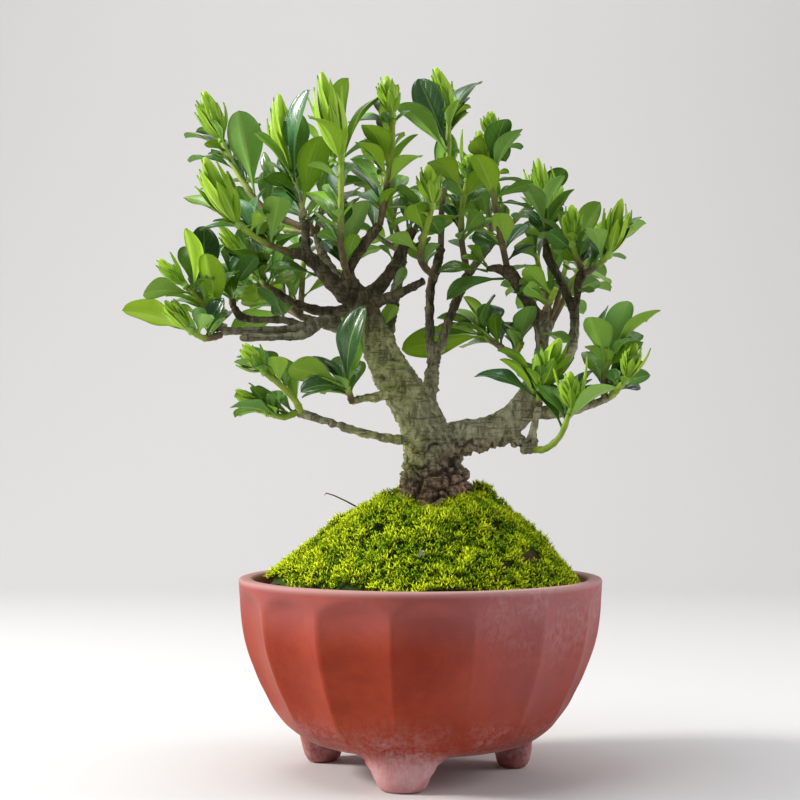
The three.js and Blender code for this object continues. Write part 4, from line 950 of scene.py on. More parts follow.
# %% Twigs in the middle and on the left
WOOD += [
    ([(0, 180, 6), (4.5, 190, 14), (6.3, 200, 17), (7, 207, 18)], [6, 4.6, 3.2, 3.6]),
    ([(6.6, 204, 18), (5, 213.5, 20), (4.8, 229, 22), (5.5, 242, 24), (8, 250, 24), (10.5, 262, 24)],
     [3, 2.5, 2.4, 2.3, 2.6, 2.4]),
    ([(7.4, 204, 18), (11.3, 214.5, 20), (15, 226.5, 22), (20.5, 239.5, 24), (24, 248.5, 24)],
     [2.8, 2.3, 2.3, 2.3, 2.4]),
    ([(-29, 233, 4), (-18, 244.5, 4), (-12, 254, 2), (-7.5, 263, 0), (-3.5, 271, -2)],
     [5.2, 3.4, 2.7, 2.9, 2.6]),
    ([(-25, 233, 2), (-14, 237, -8), (-4, 241.5, -12), (2.5, 245, -14)], [3.8, 2.4, 2.1, 1.8]),
    ([(-31, 237, 4), (-36, 249, -2), (-29.5, 260.5, -8), (-20, 273, -12)], [4.6, 3.1, 2.6, 2.6]),
    ([(-31, 234, 4), (-44.5, 244.5, 2), (-51, 252, 0), (-58, 258, -2), (-65, 258.5, -4)],
     [6, 4.1, 3.6, 3.4, 2.8]),
    ([(-57, 256, -1), (-57.3, 266, 0), (-57.5, 275.5, 0)], [3, 2.4, 2.1]),
    ([(-28, 228, 3), (-50, 229.5, 10), (-64.5, 234.5, 12), (-74, 240.5, 12)], [4.8, 2.7, 2.1, 2]),
    ([(-26, 225, 2), (-37.5, 225, -4), (-51.5, 223.8, -10), (-63, 220.7, -14), (-87, 219.8, -18),
      (-100, 219.5, -20)], [5, 3.6, 2.9, 2.2, 1.9, 2.3]),
    ([(-51, 222.5, -9), (-59, 217.5, -18), (-72, 216.6, -22), (-90.5, 216, -24)], [2.6, 2.3, 1.8, 1.9]),
    ([(-59, 222, -11), (-68, 225, -8), (-83, 225.2, -6), (-90, 227, -6), (-93.5, 232, -6)],
     [2.4, 1.9, 1.9, 2.3, 1.8]),
    ([(0, 165, -4), (-17, 166, -14), (-36.5, 171, -18), (-49, 175, -20), (-61.5, 179, -22)],
     [3, 2.2, 1.9, 2, 2.5]),
    ([(-8, 189, -2), (-20, 187, -14), (-30, 185.5, -18), (-34, 184, -20)], [3.2, 2.4, 1.9, 1.9]),
]
print(len(WOOD), "runs with the twigs on the left")

# %% Limbs to the far side
WOOD += [
    ([(-27, 231, 6), (-40, 244, 26), (-48, 256, 42), (-52, 268, 50)], [4.8, 3.4, 2.8, 2]),
    ([(-17, 206, 6), (-16, 222, 28), (-12, 240, 44), (-8, 258, 54)], [5, 3.8, 3, 2.1]),
    ([(13, 221, 21), (19.5, 238, 36), (27, 252, 46), (36, 263, 52)], [2, 2.3, 2.2, 1.9]),
    ([(58, 195, -6), (60, 206, 20), (62, 216, 36), (66, 224, 50)], [4, 3.2, 2.7, 2]),
    ([(-16, 203, 4), (-32, 217, 26), (-48, 223, 40), (-60, 227, 50)], [4.6, 3.4, 2.6, 2]),
]
print(len(WOOD), "runs of wood in all")

# %% [markdown]
# A centripetal curve passes through every listed point without looping where two lie close together. The
# tube carries its first direction along, so it never twists.

# %% Curves and tubes
STARTING_SIDE = Vector((0.3, 1, 0.2))


def slope_at(before, here, after, gap_before, gap_after):
    whole = (after - before) / (gap_before + gap_after)
    return (here - before) / gap_before - whole + (after - here) / gap_after


def curve_through(points, count):
    """A centripetal curve through points, as evenly numbered samples."""
    ends = [2 * points[0] - points[1]] + points + [2 * points[-1] - points[-2]]
    samples = []
    for i in range(count + 1):
        place = (len(points) - 1) * i / count
        span = min(int(place), len(points) - 2)
        p = ends[span:span + 4]
        gaps = [max((p[k + 1] - p[k]).length ** 0.5, 1e-6) for k in range(3)]
        m1 = slope_at(p[0], p[1], p[2], gaps[0], gaps[1]) * gaps[1]
        m2 = slope_at(p[1], p[2], p[3], gaps[1], gaps[2]) * gaps[1]
        h = curve_weights(place - span)
        samples.append(p[1] * h[0] + m1 * h[1] + p[2] * h[2] + m2 * h[3])
    return samples


def tube(points, radii, sides):
    """Points and faces of a closed tube through points, one radius for each."""
    across = None
    rings = []
    for i, point in enumerate(points):
        along = (points[min(i + 1, len(points) - 1)] - points[max(i - 1, 0)]).normalized()
        if across is None:
            across = along.cross(STARTING_SIDE)
        across = (across - along * across.dot(along)).normalized()
        other = along.cross(across)
        turn = 2 * np.pi * np.arange(sides) / sides
        ring = np.cos(turn)[:, None] * np.array(across) + np.sin(turn)[:, None] * np.array(other)
        rings.append(np.array(point) + ring * radii[i])
    return np.concatenate(rings), [grid(len(rings), sides, closed=True)] + end_caps(len(rings), sides)


# %% [markdown]
# Twigs of a gardenia are jointed: every few millimetres a ring is left where a pair of leaves fell. The old
# limbs have lost theirs. So each thin run swells in narrow rings, and each run is rounded off at its ends.

# %% Tubes of wood
TWIG_RADIUS = 6.5
SLIM_BAND = 1.5
RING_SPACING = 7.0
RING_SWELL = 0.2
RING_WIDTH = 0.13
RING_SHIFT, RING_DRIFT, DRIFT_LENGTH = 0.37, 0.3, 9
BETWEEN_RINGS = 0.04
END_LENGTH, END_SHARE = 1.2, 0.45
SAMPLE_LENGTH = 1.2
WOOD_SIDES = 18


def wood_tubes():
    stock = Stock()
    for number, (points, radii) in enumerate(WOOD):
        route = [seen(*point) for point in points]
        length = sum((b - a).length for a, b in zip(route, route[1:])) / MM
        count = max(8, int(length / SAMPLE_LENGTH))
        share = np.linspace(0, 1, count + 1)
        radius = np.interp(share, np.linspace(0, 1, len(radii)), radii)
        drift = RING_DRIFT * np.sin(share * length / DRIFT_LENGTH)
        phase = share * length / RING_SPACING + number * RING_SHIFT + drift
        swell = RING_SWELL * np.exp(-(((phase % 1) - 0.5) / RING_WIDTH) ** 2)
        slim = smoothstep(TWIG_RADIUS - radius, 0, SLIM_BAND)
        radius = radius * (1 + slim * (swell - BETWEEN_RINGS))
        tapered = np.clip(np.minimum(share, 1 - share) * length / END_LENGTH, END_SHARE, 1)
        stock.add(*tube(curve_through(route, count), radius * np.sqrt(tapered) * MM, WOOD_SIDES))
    return stock


# %% [markdown]
# Old gardenia bark is grey-brown, wrinkled across and cracked along. Close to the ground it breaks into
# reddish, craggy blocks with dark gaps, and algae turn its damp left side yellow-green. High in the crown it
# is nearly black. Here are its colours and finest cracks; the blocks and wrinkles are relief and come after.
# The grooves of the cracks and wrinkles, and every place that the relief sinks, are painted dark: partly the
# bark's own dark gaps, partly painted shade in the hollows.

# %% Bark finish
# Each bark blends a dark colour and a light one.
GREY_BARK, RED_BARK = ((0.2, 0.175, 0.1), (0.52, 0.48, 0.31)), ((0.06, 0.033, 0.024), (0.42, 0.27, 0.18))
CROWN_BARK, GREEN_BARK = ((0.035, 0.027, 0.013), (0.13, 0.105, 0.055)), ((0.22, 0.26, 0.05), (0.55, 0.6, 0.2))
# The crack colour is the dark of the cracks and painted shade in the hollows.
LICHEN, CRACK_DARK_AND_SHADE = (0.36, 0.4, 0.27), (0.022, 0.016, 0.009)
# Heights, or places across, where each begins to show and where it is full.
RED_BAND, CROWN_BAND, TRUNK_FOOT, TRUNK_TOP = (0.169, 0.15), (0.205, 0.232), (0.139, 0.152), (0.236, 0.2)
DAMP_SIDE, DAMP_END = (AXIS_X + 0.014, AXIS_X - 0.016), (AXIS_X - 0.044, AXIS_X - 0.03)

bark, bench, shader = new_material("old_bark", Roughness=0.85, Specular_IOR_Level=0.3)
place = bench.place()
along_x, along_y, up = bench.parts(place)
grain = bench.use(grain_group, Place=place, Size=900.0)
plates = mottled(bench, bench.stretched(place, (1, 1, 0.4)), 360.0, 0.5)
streaks = mottled(bench, place, 75.0, 0.45)
lichen = mottled(bench, place, 120.0, 0.75)
wrinkles = bench.noise(bench.stretched(place, (0.2, 0.2, 1.7)), 520.0, 4.0, 0.62)
fissures = bench.step(bench.noise(bench.stretched(place, (1, 1, 0.3)), 330.0, 3.0, 0.6), 0.34, 0.46)
dry = bench.blend(bench.step(up, *RED_BAND), bench.blend(plates, *GREY_BARK), bench.blend(plates, *RED_BARK))
in_crown = bench.times(bench.step(up, *CROWN_BAND), 0.95)
dry = bench.blend(in_crown, dry, bench.blend(plates, *CROWN_BARK))
damp_side = bench.times(bench.step(along_x, *DAMP_SIDE), bench.step(along_x, *DAMP_END))
on_trunk = bench.times(bench.step(up, *TRUNK_FOOT), bench.step(up, *TRUNK_TOP))
algae = bench.times(damp_side, on_trunk, bench.math("ADD", bench.times(streaks, 0.6), 0.4))
coloured = bench.blend(algae, dry, bench.blend(plates, *GREEN_BARK))
coloured = bench.blend(bench.times(lichen, on_trunk, 0.3), coloured, LICHEN)
# Grooves and sunk places are painted dark: partly dark cracks, partly painted shade.
shaded_creases = bench.times(bench.step(wrinkles, 0.44, 0.39), 0.5)
dark_cracks_and_shade = bench.math("MAXIMUM", shaded_creases, bench.times(bench.math("SUBTRACT", 1.0, fissures), 0.5))
shaded_hollows = bench.math("MAXIMUM", dark_cracks_and_shade, bench.times(bench.attribute("tone"), 0.85))
bench.feed(shader["Base Color"], bench.blend(shaded_hollows, coloured, CRACK_DARK_AND_SHADE))
fine_bump = bench.bump(grain["Height"], 0.0006, 0.6)
bench.feed(shader["Normal"], bench.bump(bench.math("ADD", wrinkles, fissures), 0.0012, 0.8, fine_bump))
print("bark finish:", len(bark.node_tree.nodes), "nodes")

# %% [markdown]
# Overlapping tubes would show a hard seam at every fork. A voxel remesh fuses them into one skin and fills
# each fork with a collar, as growing wood does, and two rounds of smoothing take away its steps.

# %% Fusing the runs
BARK_VOXEL = 0.86
EASE_SHARE, EASE_ROUNDS = 0.5, 2


def fused_wood():
    made = new_object("bark_and_wood", wood_tubes().mesh("wood_runs"))
    fuse = made.modifiers.new("fuse", "REMESH")
    fuse.mode = "VOXEL"
    fuse.voxel_size = BARK_VOXEL * MM
    fuse.use_smooth_shade = True
    ease = made.modifiers.new("ease", "SMOOTH")
    ease.factor = EASE_SHARE
    ease.iterations = EASE_ROUNDS
    bpy.context.view_layer.update()
    fused = bpy.data.meshes.new_from_object(made.evaluated_get(bpy.context.evaluated_depsgraph_get()))
    made.modifiers.clear()
    made.data = fused
    return made


wood = fused_wood()
print("fused wood:", len(wood.data.vertices), "points")

# %% [markdown]
# The bark is moved in and out along the skin's own normals, so that it is real relief. The foot flares and
# breaks into blocks: cells of a Voronoi noise, with a crack wherever two cells are equally near. Above it
# come upright plates and level wrinkles. Lost limbs left ring scars, and each is listed.

# %% Blocks and ring scars
BLOCK_SIZE = (10.5, 10.5, 6.4)
BLOCK_WARP, WARP_SCALE, WARP_SEEDS, CRACK_BAND = 2.2, 0.12, (21, 22, 23), (0.04, 0.24)
# Ring scars: place in the front view, radius and height of the ring.
KNOTS = [
    ((7, 161), 8.0, 1.5), ((-18.5, 196), 5.5, 1.4), ((-10, 187), 4.5, 1.1), ((-34, 236), 9.0, 1.6),
    ((54, 163), 5.0, 1.4), ((58, 226), 5.0, 1.3), ((-15, 213), 4.0, 1.0), ((36, 168), 4.5, 0.9),
]
KNOT_RING, KNOT_RING_WIDTH, KNOT_HOLLOW, KNOT_HOLLOW_WIDTH = 0.75, 0.28, 0.7, 0.42


def block_relief(local):
    """Raised blocks between deep cracks: 0 in a crack, 1 on a block."""
    warp = np.stack([noisy(local, WARP_SCALE, seed) for seed in WARP_SEEDS], axis=-1)
    cells = (local + BLOCK_WARP * warp) / np.array(BLOCK_SIZE)
    nearest = [noise.voronoi(Vector(cell))[0] for cell in cells]
    return smoothstep(np.array([distances[1] - distances[0] for distances in nearest]), *CRACK_BAND)


def ring_scars(local, normals):
    lift = 0
    for (x, z), size, height in KNOTS:
        away = np.hypot(local[:, 0] - x, local[:, 2] - z) / size
        ring = np.exp(-(((away - KNOT_RING) / KNOT_RING_WIDTH) ** 2))
        ring = ring - KNOT_HOLLOW * np.exp(-((away / KNOT_HOLLOW_WIDTH) ** 2))
        lift = lift + height * ring * np.clip(-normals[:, 1] + 0.2, 0, 1)
    return lift


print(len(KNOTS), "ring scars")

# %% Raising the bark
# Heights and widths are in millimetres; each top is followed by the width over which it fades.
CRAGGY_TOP, CRAGGY_FADE, CRAGGY_SLANT, SLANT_FROM, SLANT_WIDTH = 173, 14, 0.9, 2, 20
FLARE, FLARE_TOP, FLARE_FADE = 1.6, 142, 12
THICK_TOP, THICK_FADE, THICK_HALF, THICK_SIDE_FADE = 250, 45, 60, 25
CROWN_MIDDLE, CALM_BAND, CALM_SHARE = -5, (28, 45), 0.65
BLOCK_RISE, BLOCK_SINK, BLOCK_PLATES = 2.2, 1.5, 0.8
PLATE_RISE, WRINKLE_RISE, FINE_RISE, BROAD_RISE = 0.7, 0.75, 0.26, 0.3
PLATE_STRETCH, WRINKLE_STRETCH = (1, 1, 0.45), (0.3, 0.3, 1)
SHADED_DEPTH_BAND = (0.25, 1.3)


def bark_lift(local, normals):
    sunk = CRAGGY_SLANT * np.clip(SLANT_FROM - local[:, 0], 0, SLANT_WIDTH)
    craggy = smoothstep(CRAGGY_TOP - sunk - local[:, 2], 0, CRAGGY_FADE)
    aside = np.abs(local[:, 0] - CROWN_MIDDLE)
    thick = smoothstep(THICK_TOP - local[:, 2], 0, THICK_FADE)
    thick = thick * smoothstep(THICK_HALF - aside, 0, THICK_SIDE_FADE)
    plate = noisy(local * np.array(PLATE_STRETCH), 0.3, 8)
    wrinkles = noisy(local * np.array(WRINKLE_STRETCH), 0.75, 12)
    rough = noisy(local, 0.6, 14) + 0.6 * noisy(local, 1.3, 15)
    lift = craggy * (BLOCK_RISE * block_relief(local) - BLOCK_SINK + BLOCK_PLATES * plate + rough)
    lift = lift + FLARE * smoothstep(FLARE_TOP - local[:, 2], 0, FLARE_FADE)
    lift = lift + thick * (1 - craggy) * (PLATE_RISE * plate + WRINKLE_RISE * wrinkles)
    calm = 1 - CALM_SHARE * smoothstep(aside, *CALM_BAND)
    lift = lift + calm * (FINE_RISE * noisy(local, 0.9, 9) + BROAD_RISE * noisy(local, 0.42, 10))
    return lift + ring_scars(local, normals)


def raise_bark(made):
    mesh = made.data
    count = len(mesh.vertices)
    points, normals = np.empty(count * 3), np.empty(count * 3)
    mesh.vertices.foreach_get("co", points)
    mesh.vertices.foreach_get("normal", normals)
    points, normals = points.reshape(-1, 3), normals.reshape(-1, 3)
    local = (points - np.array(BOWL_AXIS)) / MM
    lift = bark_lift(local, normals)
    moved = points + normals * (lift * MM)[:, None]
    mesh.vertices.foreach_set("co", moved.ravel())
    # tone holds how deep the relief sinks a point, for the dark cracks and painted shade of the bark finish.
    attribute = mesh.attributes.new("tone", "FLOAT", "POINT")
    attribute.data.foreach_set("value", smoothstep(-lift, *SHADED_DEPTH_BAND).astype(np.float32))
    mesh.polygons.foreach_set("use_smooth", [True] * len(mesh.polygons))
    mesh.materials.clear()
    mesh.materials.append(bark)
    mesh.update()


raise_bark(wood)
finish_piece(wood, ["wood"])
print("wood:", triangles_made["bark_and_wood"], "triangles")

# %% [markdown]
# Leaves come in three finishes. The upper side is dark, waxy and glossy; the underside is paler and matt;
# the youngest leaves at the shoot tips are lime on both sides. All three read the same vein group, with the
# ribs sunk on top and raised below. Each finish blends four colours: "tone" goes from dark to light and
# "tint" from blue-green to olive, so no two neighbours are the same green.

# %% Leaf finishes
PATCH_SHARE, MARGIN_AND_GLINT_TINT, RIB_TINT, ROUGHNESS_SPREAD = 0.14, 0.4, 0.7, 0.3


def leaf_finish(name, cool, warm, rib, roughness, coat, relief, vein_tint, specular):
    material, bench, shader = new_material(
        name, Coat_Weight=coat, Coat_Roughness=0.2, Specular_IOR_Level=specular, Roughness=roughness
    )
    across, along, _ = bench.parts(bench.node("ShaderNodeUVMap", uv_map="blade").outputs[0])
    veins = bench.use(vein_group, Across=across, Along=along)
    patches = mottled(bench, bench.place(), 110.0, 0.1)
    grain = bench.use(grain_group, Place=bench.place(), Size=520.0)
    own_tone = bench.times(bench.attribute("tone"), 1 - PATCH_SHARE)
    tone = bench.math("ADD", own_tone, bench.times(patches, PATCH_SHARE))
    blade = bench.blend(bench.attribute("tint"), bench.blend(tone, *cool), bench.blend(tone, *warm))
    veined = bench.blend(bench.times(veins["Side Veins"], vein_tint), blade, rib)
    # The edge is painted paler: partly its pale cord, partly a painted highlight.
    edged_and_glinting = bench.blend(bench.times(veins["Margin"], MARGIN_AND_GLINT_TINT), veined, rib)
    bench.feed(shader["Base Color"], bench.blend(bench.times(veins["Midrib"], RIB_TINT), edged_and_glinting, rib))
    waxy = bench.math("ADD", bench.times(grain["Height"], ROUGHNESS_SPREAD), roughness - ROUGHNESS_SPREAD / 2)
    bench.feed(shader["Roughness"], waxy)
    grained = bench.bump(grain["Height"], 0.0003, 0.2)
    bench.feed(shader["Normal"], bench.bump(veins["Height"], relief, 0.5, grained))
    return material


leaf_top = leaf_finish(
    "leaf_upper_side", cool=((0.004, 0.026, 0.018), (0.1, 0.3, 0.09)),
    warm=((0.02, 0.075, 0.005), (0.29, 0.52, 0.02)), rib=(0.2, 0.38, 0.06),
    roughness=0.29, coat=0.4, relief=-0.0002, vein_tint=0.16, specular=0.45,
)
leaf_under = leaf_finish(
    "leaf_underside", cool=((0.07, 0.2, 0.03), (0.3, 0.56, 0.16)),
    warm=((0.13, 0.29, 0.006), (0.38, 0.6, 0.03)), rib=(0.36, 0.56, 0.12),
    roughness=0.5, coat=0.0, relief=0.0002, vein_tint=0.22, specular=0.1,
)
new_leaf = leaf_finish(
    "new_growth", cool=((0.08, 0.25, 0.008), (0.36, 0.62, 0.05)),
    warm=((0.16, 0.36, 0.005), (0.47, 0.68, 0.04)), rib=(0.6, 0.82, 0.18),
    roughness=0.38, coat=0.1, relief=0.00015, vein_tint=0.25, specular=0.15,
)

# %% [markdown]
# A shoot's stem is green while it is young and turns to brown wood from its foot up. "along" says how far up
# a point lies, and "tone" is 1 for the few stems that are green all the way.

# %% Stem finish
YOUNG_STEM, OLD_STEM = ((0.2, 0.32, 0.02), (0.36, 0.46, 0.05)), ((0.08, 0.055, 0.022), (0.19, 0.14, 0.055))
GREEN_BAND = (0.35, 0.7)

green_stem, bench, shader = new_material("green_stem", Roughness=0.5, Specular_IOR_Level=0.35)
woody = mottled(bench, bench.place(), 160.0, 0.4)
young = bench.blend(woody, *YOUNG_STEM)
old = bench.blend(woody, *OLD_STEM)
still_green = bench.step(bench.attribute("along"), *GREEN_BAND)
green_share = bench.math("MAXIMUM", still_green, bench.attribute("tone"))
bench.feed(shader["Base Color"], bench.blend(green_share, old, young))
print("finishes of a shoot:", leaf_top.name, leaf_under.name, new_leaf.name, green_stem.name)

# %% [markdown]
# A blade is a closed thin sheet on a grid of stations along it and points across it. It starts as a short
# stalk, widens to its broadest past the middle and ends in a rounded tip. It folds up along the midrib,
# arches over its length, waves a little at its edge, and bulges between its side veins. A young leaf is
# pointed and folds harder.

# %% The shape of a blade
# Where a blade is broadest, and how quickly it narrows to its stalk and to its tip.
BROADEST_POWER, BROADEST, TO_STALK, TO_TIP = 1.65, 0.657, 1.2, 0.52
GROWN = {"fold": 0.27, "arch": 0.07, "wave": 1.0, "young": False, "grid": (22, 9)}
FILLING = {**GROWN, "grid": (14, 5)}
SMALL = {**GROWN, "fold": 0.35, "arch": 0.08, "grid": (13, 7)}


def facing(along, face):
    """The part of a facing that stands square to a length."""
    return (face - along * face.dot(along)).normalized()


def blade_frame(root, tip, face, roll):
    along = tip - root
    length = along.length
    along.normalize()
    up = Quaternion(along, roll) @ facing(along, face)
    return along, up, along.cross(up), length


def blade_outline(share, young):
    """Half width along the blade as a share of the greatest."""
    if young:
        return np.sin(np.pi * np.clip(share, 0, 1) ** 0.95) ** 0.85
    swell = np.sin(np.pi * np.clip(share, 0, 1) ** BROADEST_POWER)
    return np.clip(swell, 0, 1) ** np.where(share < BROADEST, TO_STALK, TO_TIP)


def blade_edge(stations, across):
    """Indices of the points round the edge of one sheet, in order."""
    last = (stations - 1) * across
    left = np.arange(stations) * across
    end = last + np.arange(1, across)
    right = np.arange(stations - 2, -1, -1) * across + across - 1
    start = np.arange(across - 2, 0, -1)
    return np.concatenate([left, end, right, start])


print("a grown leaf has", GROWN["grid"][0] * GROWN["grid"][1], "points on each side")

# %% One leaf
# Half thicknesses and reliefs are in millimetres, all else in shares of the length or of the half width.
STALK_HALF, YOUNG_HALF, EDGE_HALF, BLADE_HALF, RIB_HALF, RIB_SPREAD = 0.6, 0.2, 0.04, 0.2, 0.12, 0.12
STALK_SHARE, OPENS, DROOP, DROOP_FROM = 0.1, (0.05, 0.28), (-0.05, 0.13), 0.55
WAVES, RIPPLE, SWAY = (1.2, 2.2), (0.03, 0.1), (-0.05, 0.05)
PILLOW, QUILT, GROOVE, GROOVE_SPREAD = 0.34, 0.09, 0.2, 0.1


def add_leaf(stock, root, tip, width, face, roll, look, slots, draws, shape=GROWN):
    along, up, side, length = blade_frame(root, tip, face, roll)
    stations, across = shape["grid"]
    share = 1 - (1 - np.linspace(0, 1, stations)) ** 1.15
    s, v = np.meshgrid(share, np.linspace(-1, 1, across), indexing="ij")
    least = (YOUNG_HALF if shape["young"] else STALK_HALF) * MM
    half = blade_outline(share, shape["young"]) * width / 2
    half = np.maximum(half, least * (1 - share**6) + EDGE_HALF * MM)
    h = half[:, None] * np.ones_like(v)
    opened = smoothstep(s, *OPENS)
    drooped = 4 * draws.uniform(*DROOP) * length * np.clip(s - DROOP_FROM, 0, 1) ** 2
    bowed = 4 * shape["arch"] * length * s * (1 - s) - drooped
    waves = np.sin(2 * np.pi * (draws.uniform(*WAVES) * s + 0.25 * v) + draws.uniform(0, 6))
    ripple = shape["wave"] * draws.uniform(*RIPPLE) * h * np.abs(v) ** 2 * waves
    raised = shape["fold"] * h * np.abs(v) ** 1.2 * opened
    pillow = PILLOW * h * np.abs(v) * (1 - np.abs(v)) * opened
    phase = (s - VEIN_SLANT * np.abs(v) ** VEIN_BEND + 1) * VEIN_PAIRS
    quilt = QUILT * MM * np.abs(np.sin(np.pi * phase)) * (1 - np.abs(v) ** 4) * opened
    groove = GROOVE * MM * np.exp(-((v / GROOVE_SPREAD) ** 2)) * opened
    level = bowed + ripple + raised + pillow
    rib = RIB_HALF * MM * np.exp(-((v / RIB_SPREAD) ** 2))
    thick = np.where(s < STALK_SHARE, least, BLADE_HALF * MM + rib)
    edge = 1 - 0.75 * np.abs(v) ** 6
    sway = draws.uniform(*SWAY) * length * s * (1 - s)
    centre = np.array(root) + s[..., None] * length * np.array(along)
    centre = centre + (v * h + sway)[..., None] * np.array(side)
    top = centre + (level + quilt - groove + thick * edge)[..., None] * np.array(up)
    below = centre + (level + 0.6 * quilt - 0.7 * groove - thick * edge)[..., None] * np.array(up)
    size = stations * across
    around = blade_edge(stations, across)
    after = np.roll(around, -1)
    rim = np.stack([around, after, after + size, around + size], axis=-1)
    uvs = np.stack([(v + 1) / 2, s], axis=-1).reshape(-1, 2)
    faces = [grid(stations, across), grid(stations, across, start=size, flip=True), rim[:, ::-1]]
    points = np.concatenate([top.reshape(-1, 3), below.reshape(-1, 3)])
    tone, tint = look
    uvs = np.concatenate([uvs, uvs])
    stock.add(points, faces, [slots[0], slots[1], slots[1]], uvs, tone, tint, np.tile(s.ravel(), 2))


# %% One stem
STEM_SIDES, STEM_STEPS = 10, 9
STEM_JOINTS, JOINT_SWELL, JOINT_WIDTH = 3.0, 0.22, 0.1


def add_stem(stock, points, radii, slot, green=0.0):
    """A jointed stem; green is 1 where it stays green all the way down."""
    count = STEM_STEPS * (len(points) - 1)
    straight = [points[0].lerp(points[-1], i / count) for i in range(count + 1)]
    samples = curve_through(points, count) if len(points) > 2 else straight
    share = np.linspace(0, 1, count + 1)
    radius = np.interp(share, np.linspace(0, 1, len(radii)), radii)
    joints = np.exp(-((((share * STEM_JOINTS) % 1) - 0.5) / JOINT_WIDTH) ** 2)
    ring_points, faces = tube(samples, radius * (1 + JOINT_SWELL * joints) * MM, STEM_SIDES)
    stock.add(ring_points, faces, slot, tone=green, along=np.repeat(share, STEM_SIDES))


# %% [markdown]
# The leafy shoots are listed as the photograph shows them: the stem from the wood to its tip, the tuft of
# new growth on it, and each leaf by its tip, its foot and the width that shows. A leaf that looks short is
# really one that leans toward or away from the eye, so its true length is restored in depth. The packed
# model bent some leaves to keep them apart, and the tips found in it say by how much.

# %% Shoots of the crown's left side
# A shoot is its stem, its tuft or None, and its leaves. A tuft has a tip, a width and the tips of leaflets. A
# leaf is its tip, its foot, the width that shows, and 1 where the top shows or 0 for the underside.
SHOOTS = [
    ([(-57.5, 271, 0), (-78, 281, 10), (-92, 300, 20), (-99, 314, 26)],
     ((-108.5, 340.5), 9.5, [(-112, 330.5), (-98, 334.5)]),
     [(-91, 330.5, -85.5, 286, 18, 0), (-117, 319, -98, 303, 5, 1),
      (-115.5, 306.5, -96.5, 298, 5, 1), (-82, 324, -84, 294, 5, 1)]),
    ([(-63, 258, -6), (-78, 264, -20), (-90, 272, -28)],
     ((-108.5, 307), 11, [(-111.5, 294), (-96.5, 300)]),
     [(-118.5, 286, -91, 272, 7.5, 1), (-134.5, 294, -104, 284, 7.5, 0),
      (-79.5, 291, -80, 270, 7.5, 1), (-70.5, 288.5, -75.5, 262, 13, 0),
      (-87.5, 266.5, -74, 258.5, 5, 1), (-92.5, 287, -84, 268, 8, 1)]),
    ([(-57.5, 275.5, 0), (-60.5, 286, 12), (-63.5, 297, 20)],
     ((-71, 339), 10, [(-77.5, 326)]),
     [(-83.5, 318.5, -63.5, 294, 5, 1), (-75, 305, -61, 284, 7, 1),
      (-56.5, 341, -60.5, 300, 8.5, 1), (-77, 298, -66, 286, 8, 0), (-50, 300, -60, 281, 9, 1),
      (-74, 288, -59.5, 277, 8, 1), (-49.5, 318, -59, 280, 15, 0)]),
    ([(-36, 246, -2), (-39.5, 262, -24), (-39.5, 285, -36), (-39.5, 304, -42)],
     ((-49.5, 350), 9.5, [(-43, 343)]),
     [(-36.5, 346.5, -37.5, 320, 9, 0), (-27, 342, -36, 307, 12.5, 0),
      (-20.5, 338.5, -35, 304.5, 6, 1), (-46.5, 294, -43.5, 278.5, 8.5, 1),
      (-39, 286.5, -39.5, 269, 6, 1), (-28, 285.5, -39, 252, 10, 0),
      (-48.5, 264.5, -40, 249.5, 8.5, 1), (-22, 262.5, -38, 246.5, 4.5, 0),
      (-55, 290, -40, 270, 10, 1), (-53, 330, -40, 305, 8.5, 0), (-51.5, 269.5, -42, 263, 6, 0)]),
    ([(-20, 273, -12), (-17, 290, -22), (-14.5, 308, -28), (-13.5, 326, -32)],
     ((-17, 348), 8, []),
     [(-13, 343, -13.5, 309, 8, 0), (-36.5, 303.5, -21, 283, 9, 1), (-27.5, 303.5, -14, 296, 8, 1),
      (-8, 298.5, -14, 280, 10.5, 1), (-8.5, 318.5, -13, 299, 4, 1),
      (-26.5, 324.5, -14, 300, 11, 0), (-31, 315, -15, 296, 6, 0), (-0.5, 309.5, -14, 291, 6, 0),
      (-13, 292.5, -20.5, 276.5, 6, 0)]),
]
print(len(SHOOTS), "shoots")

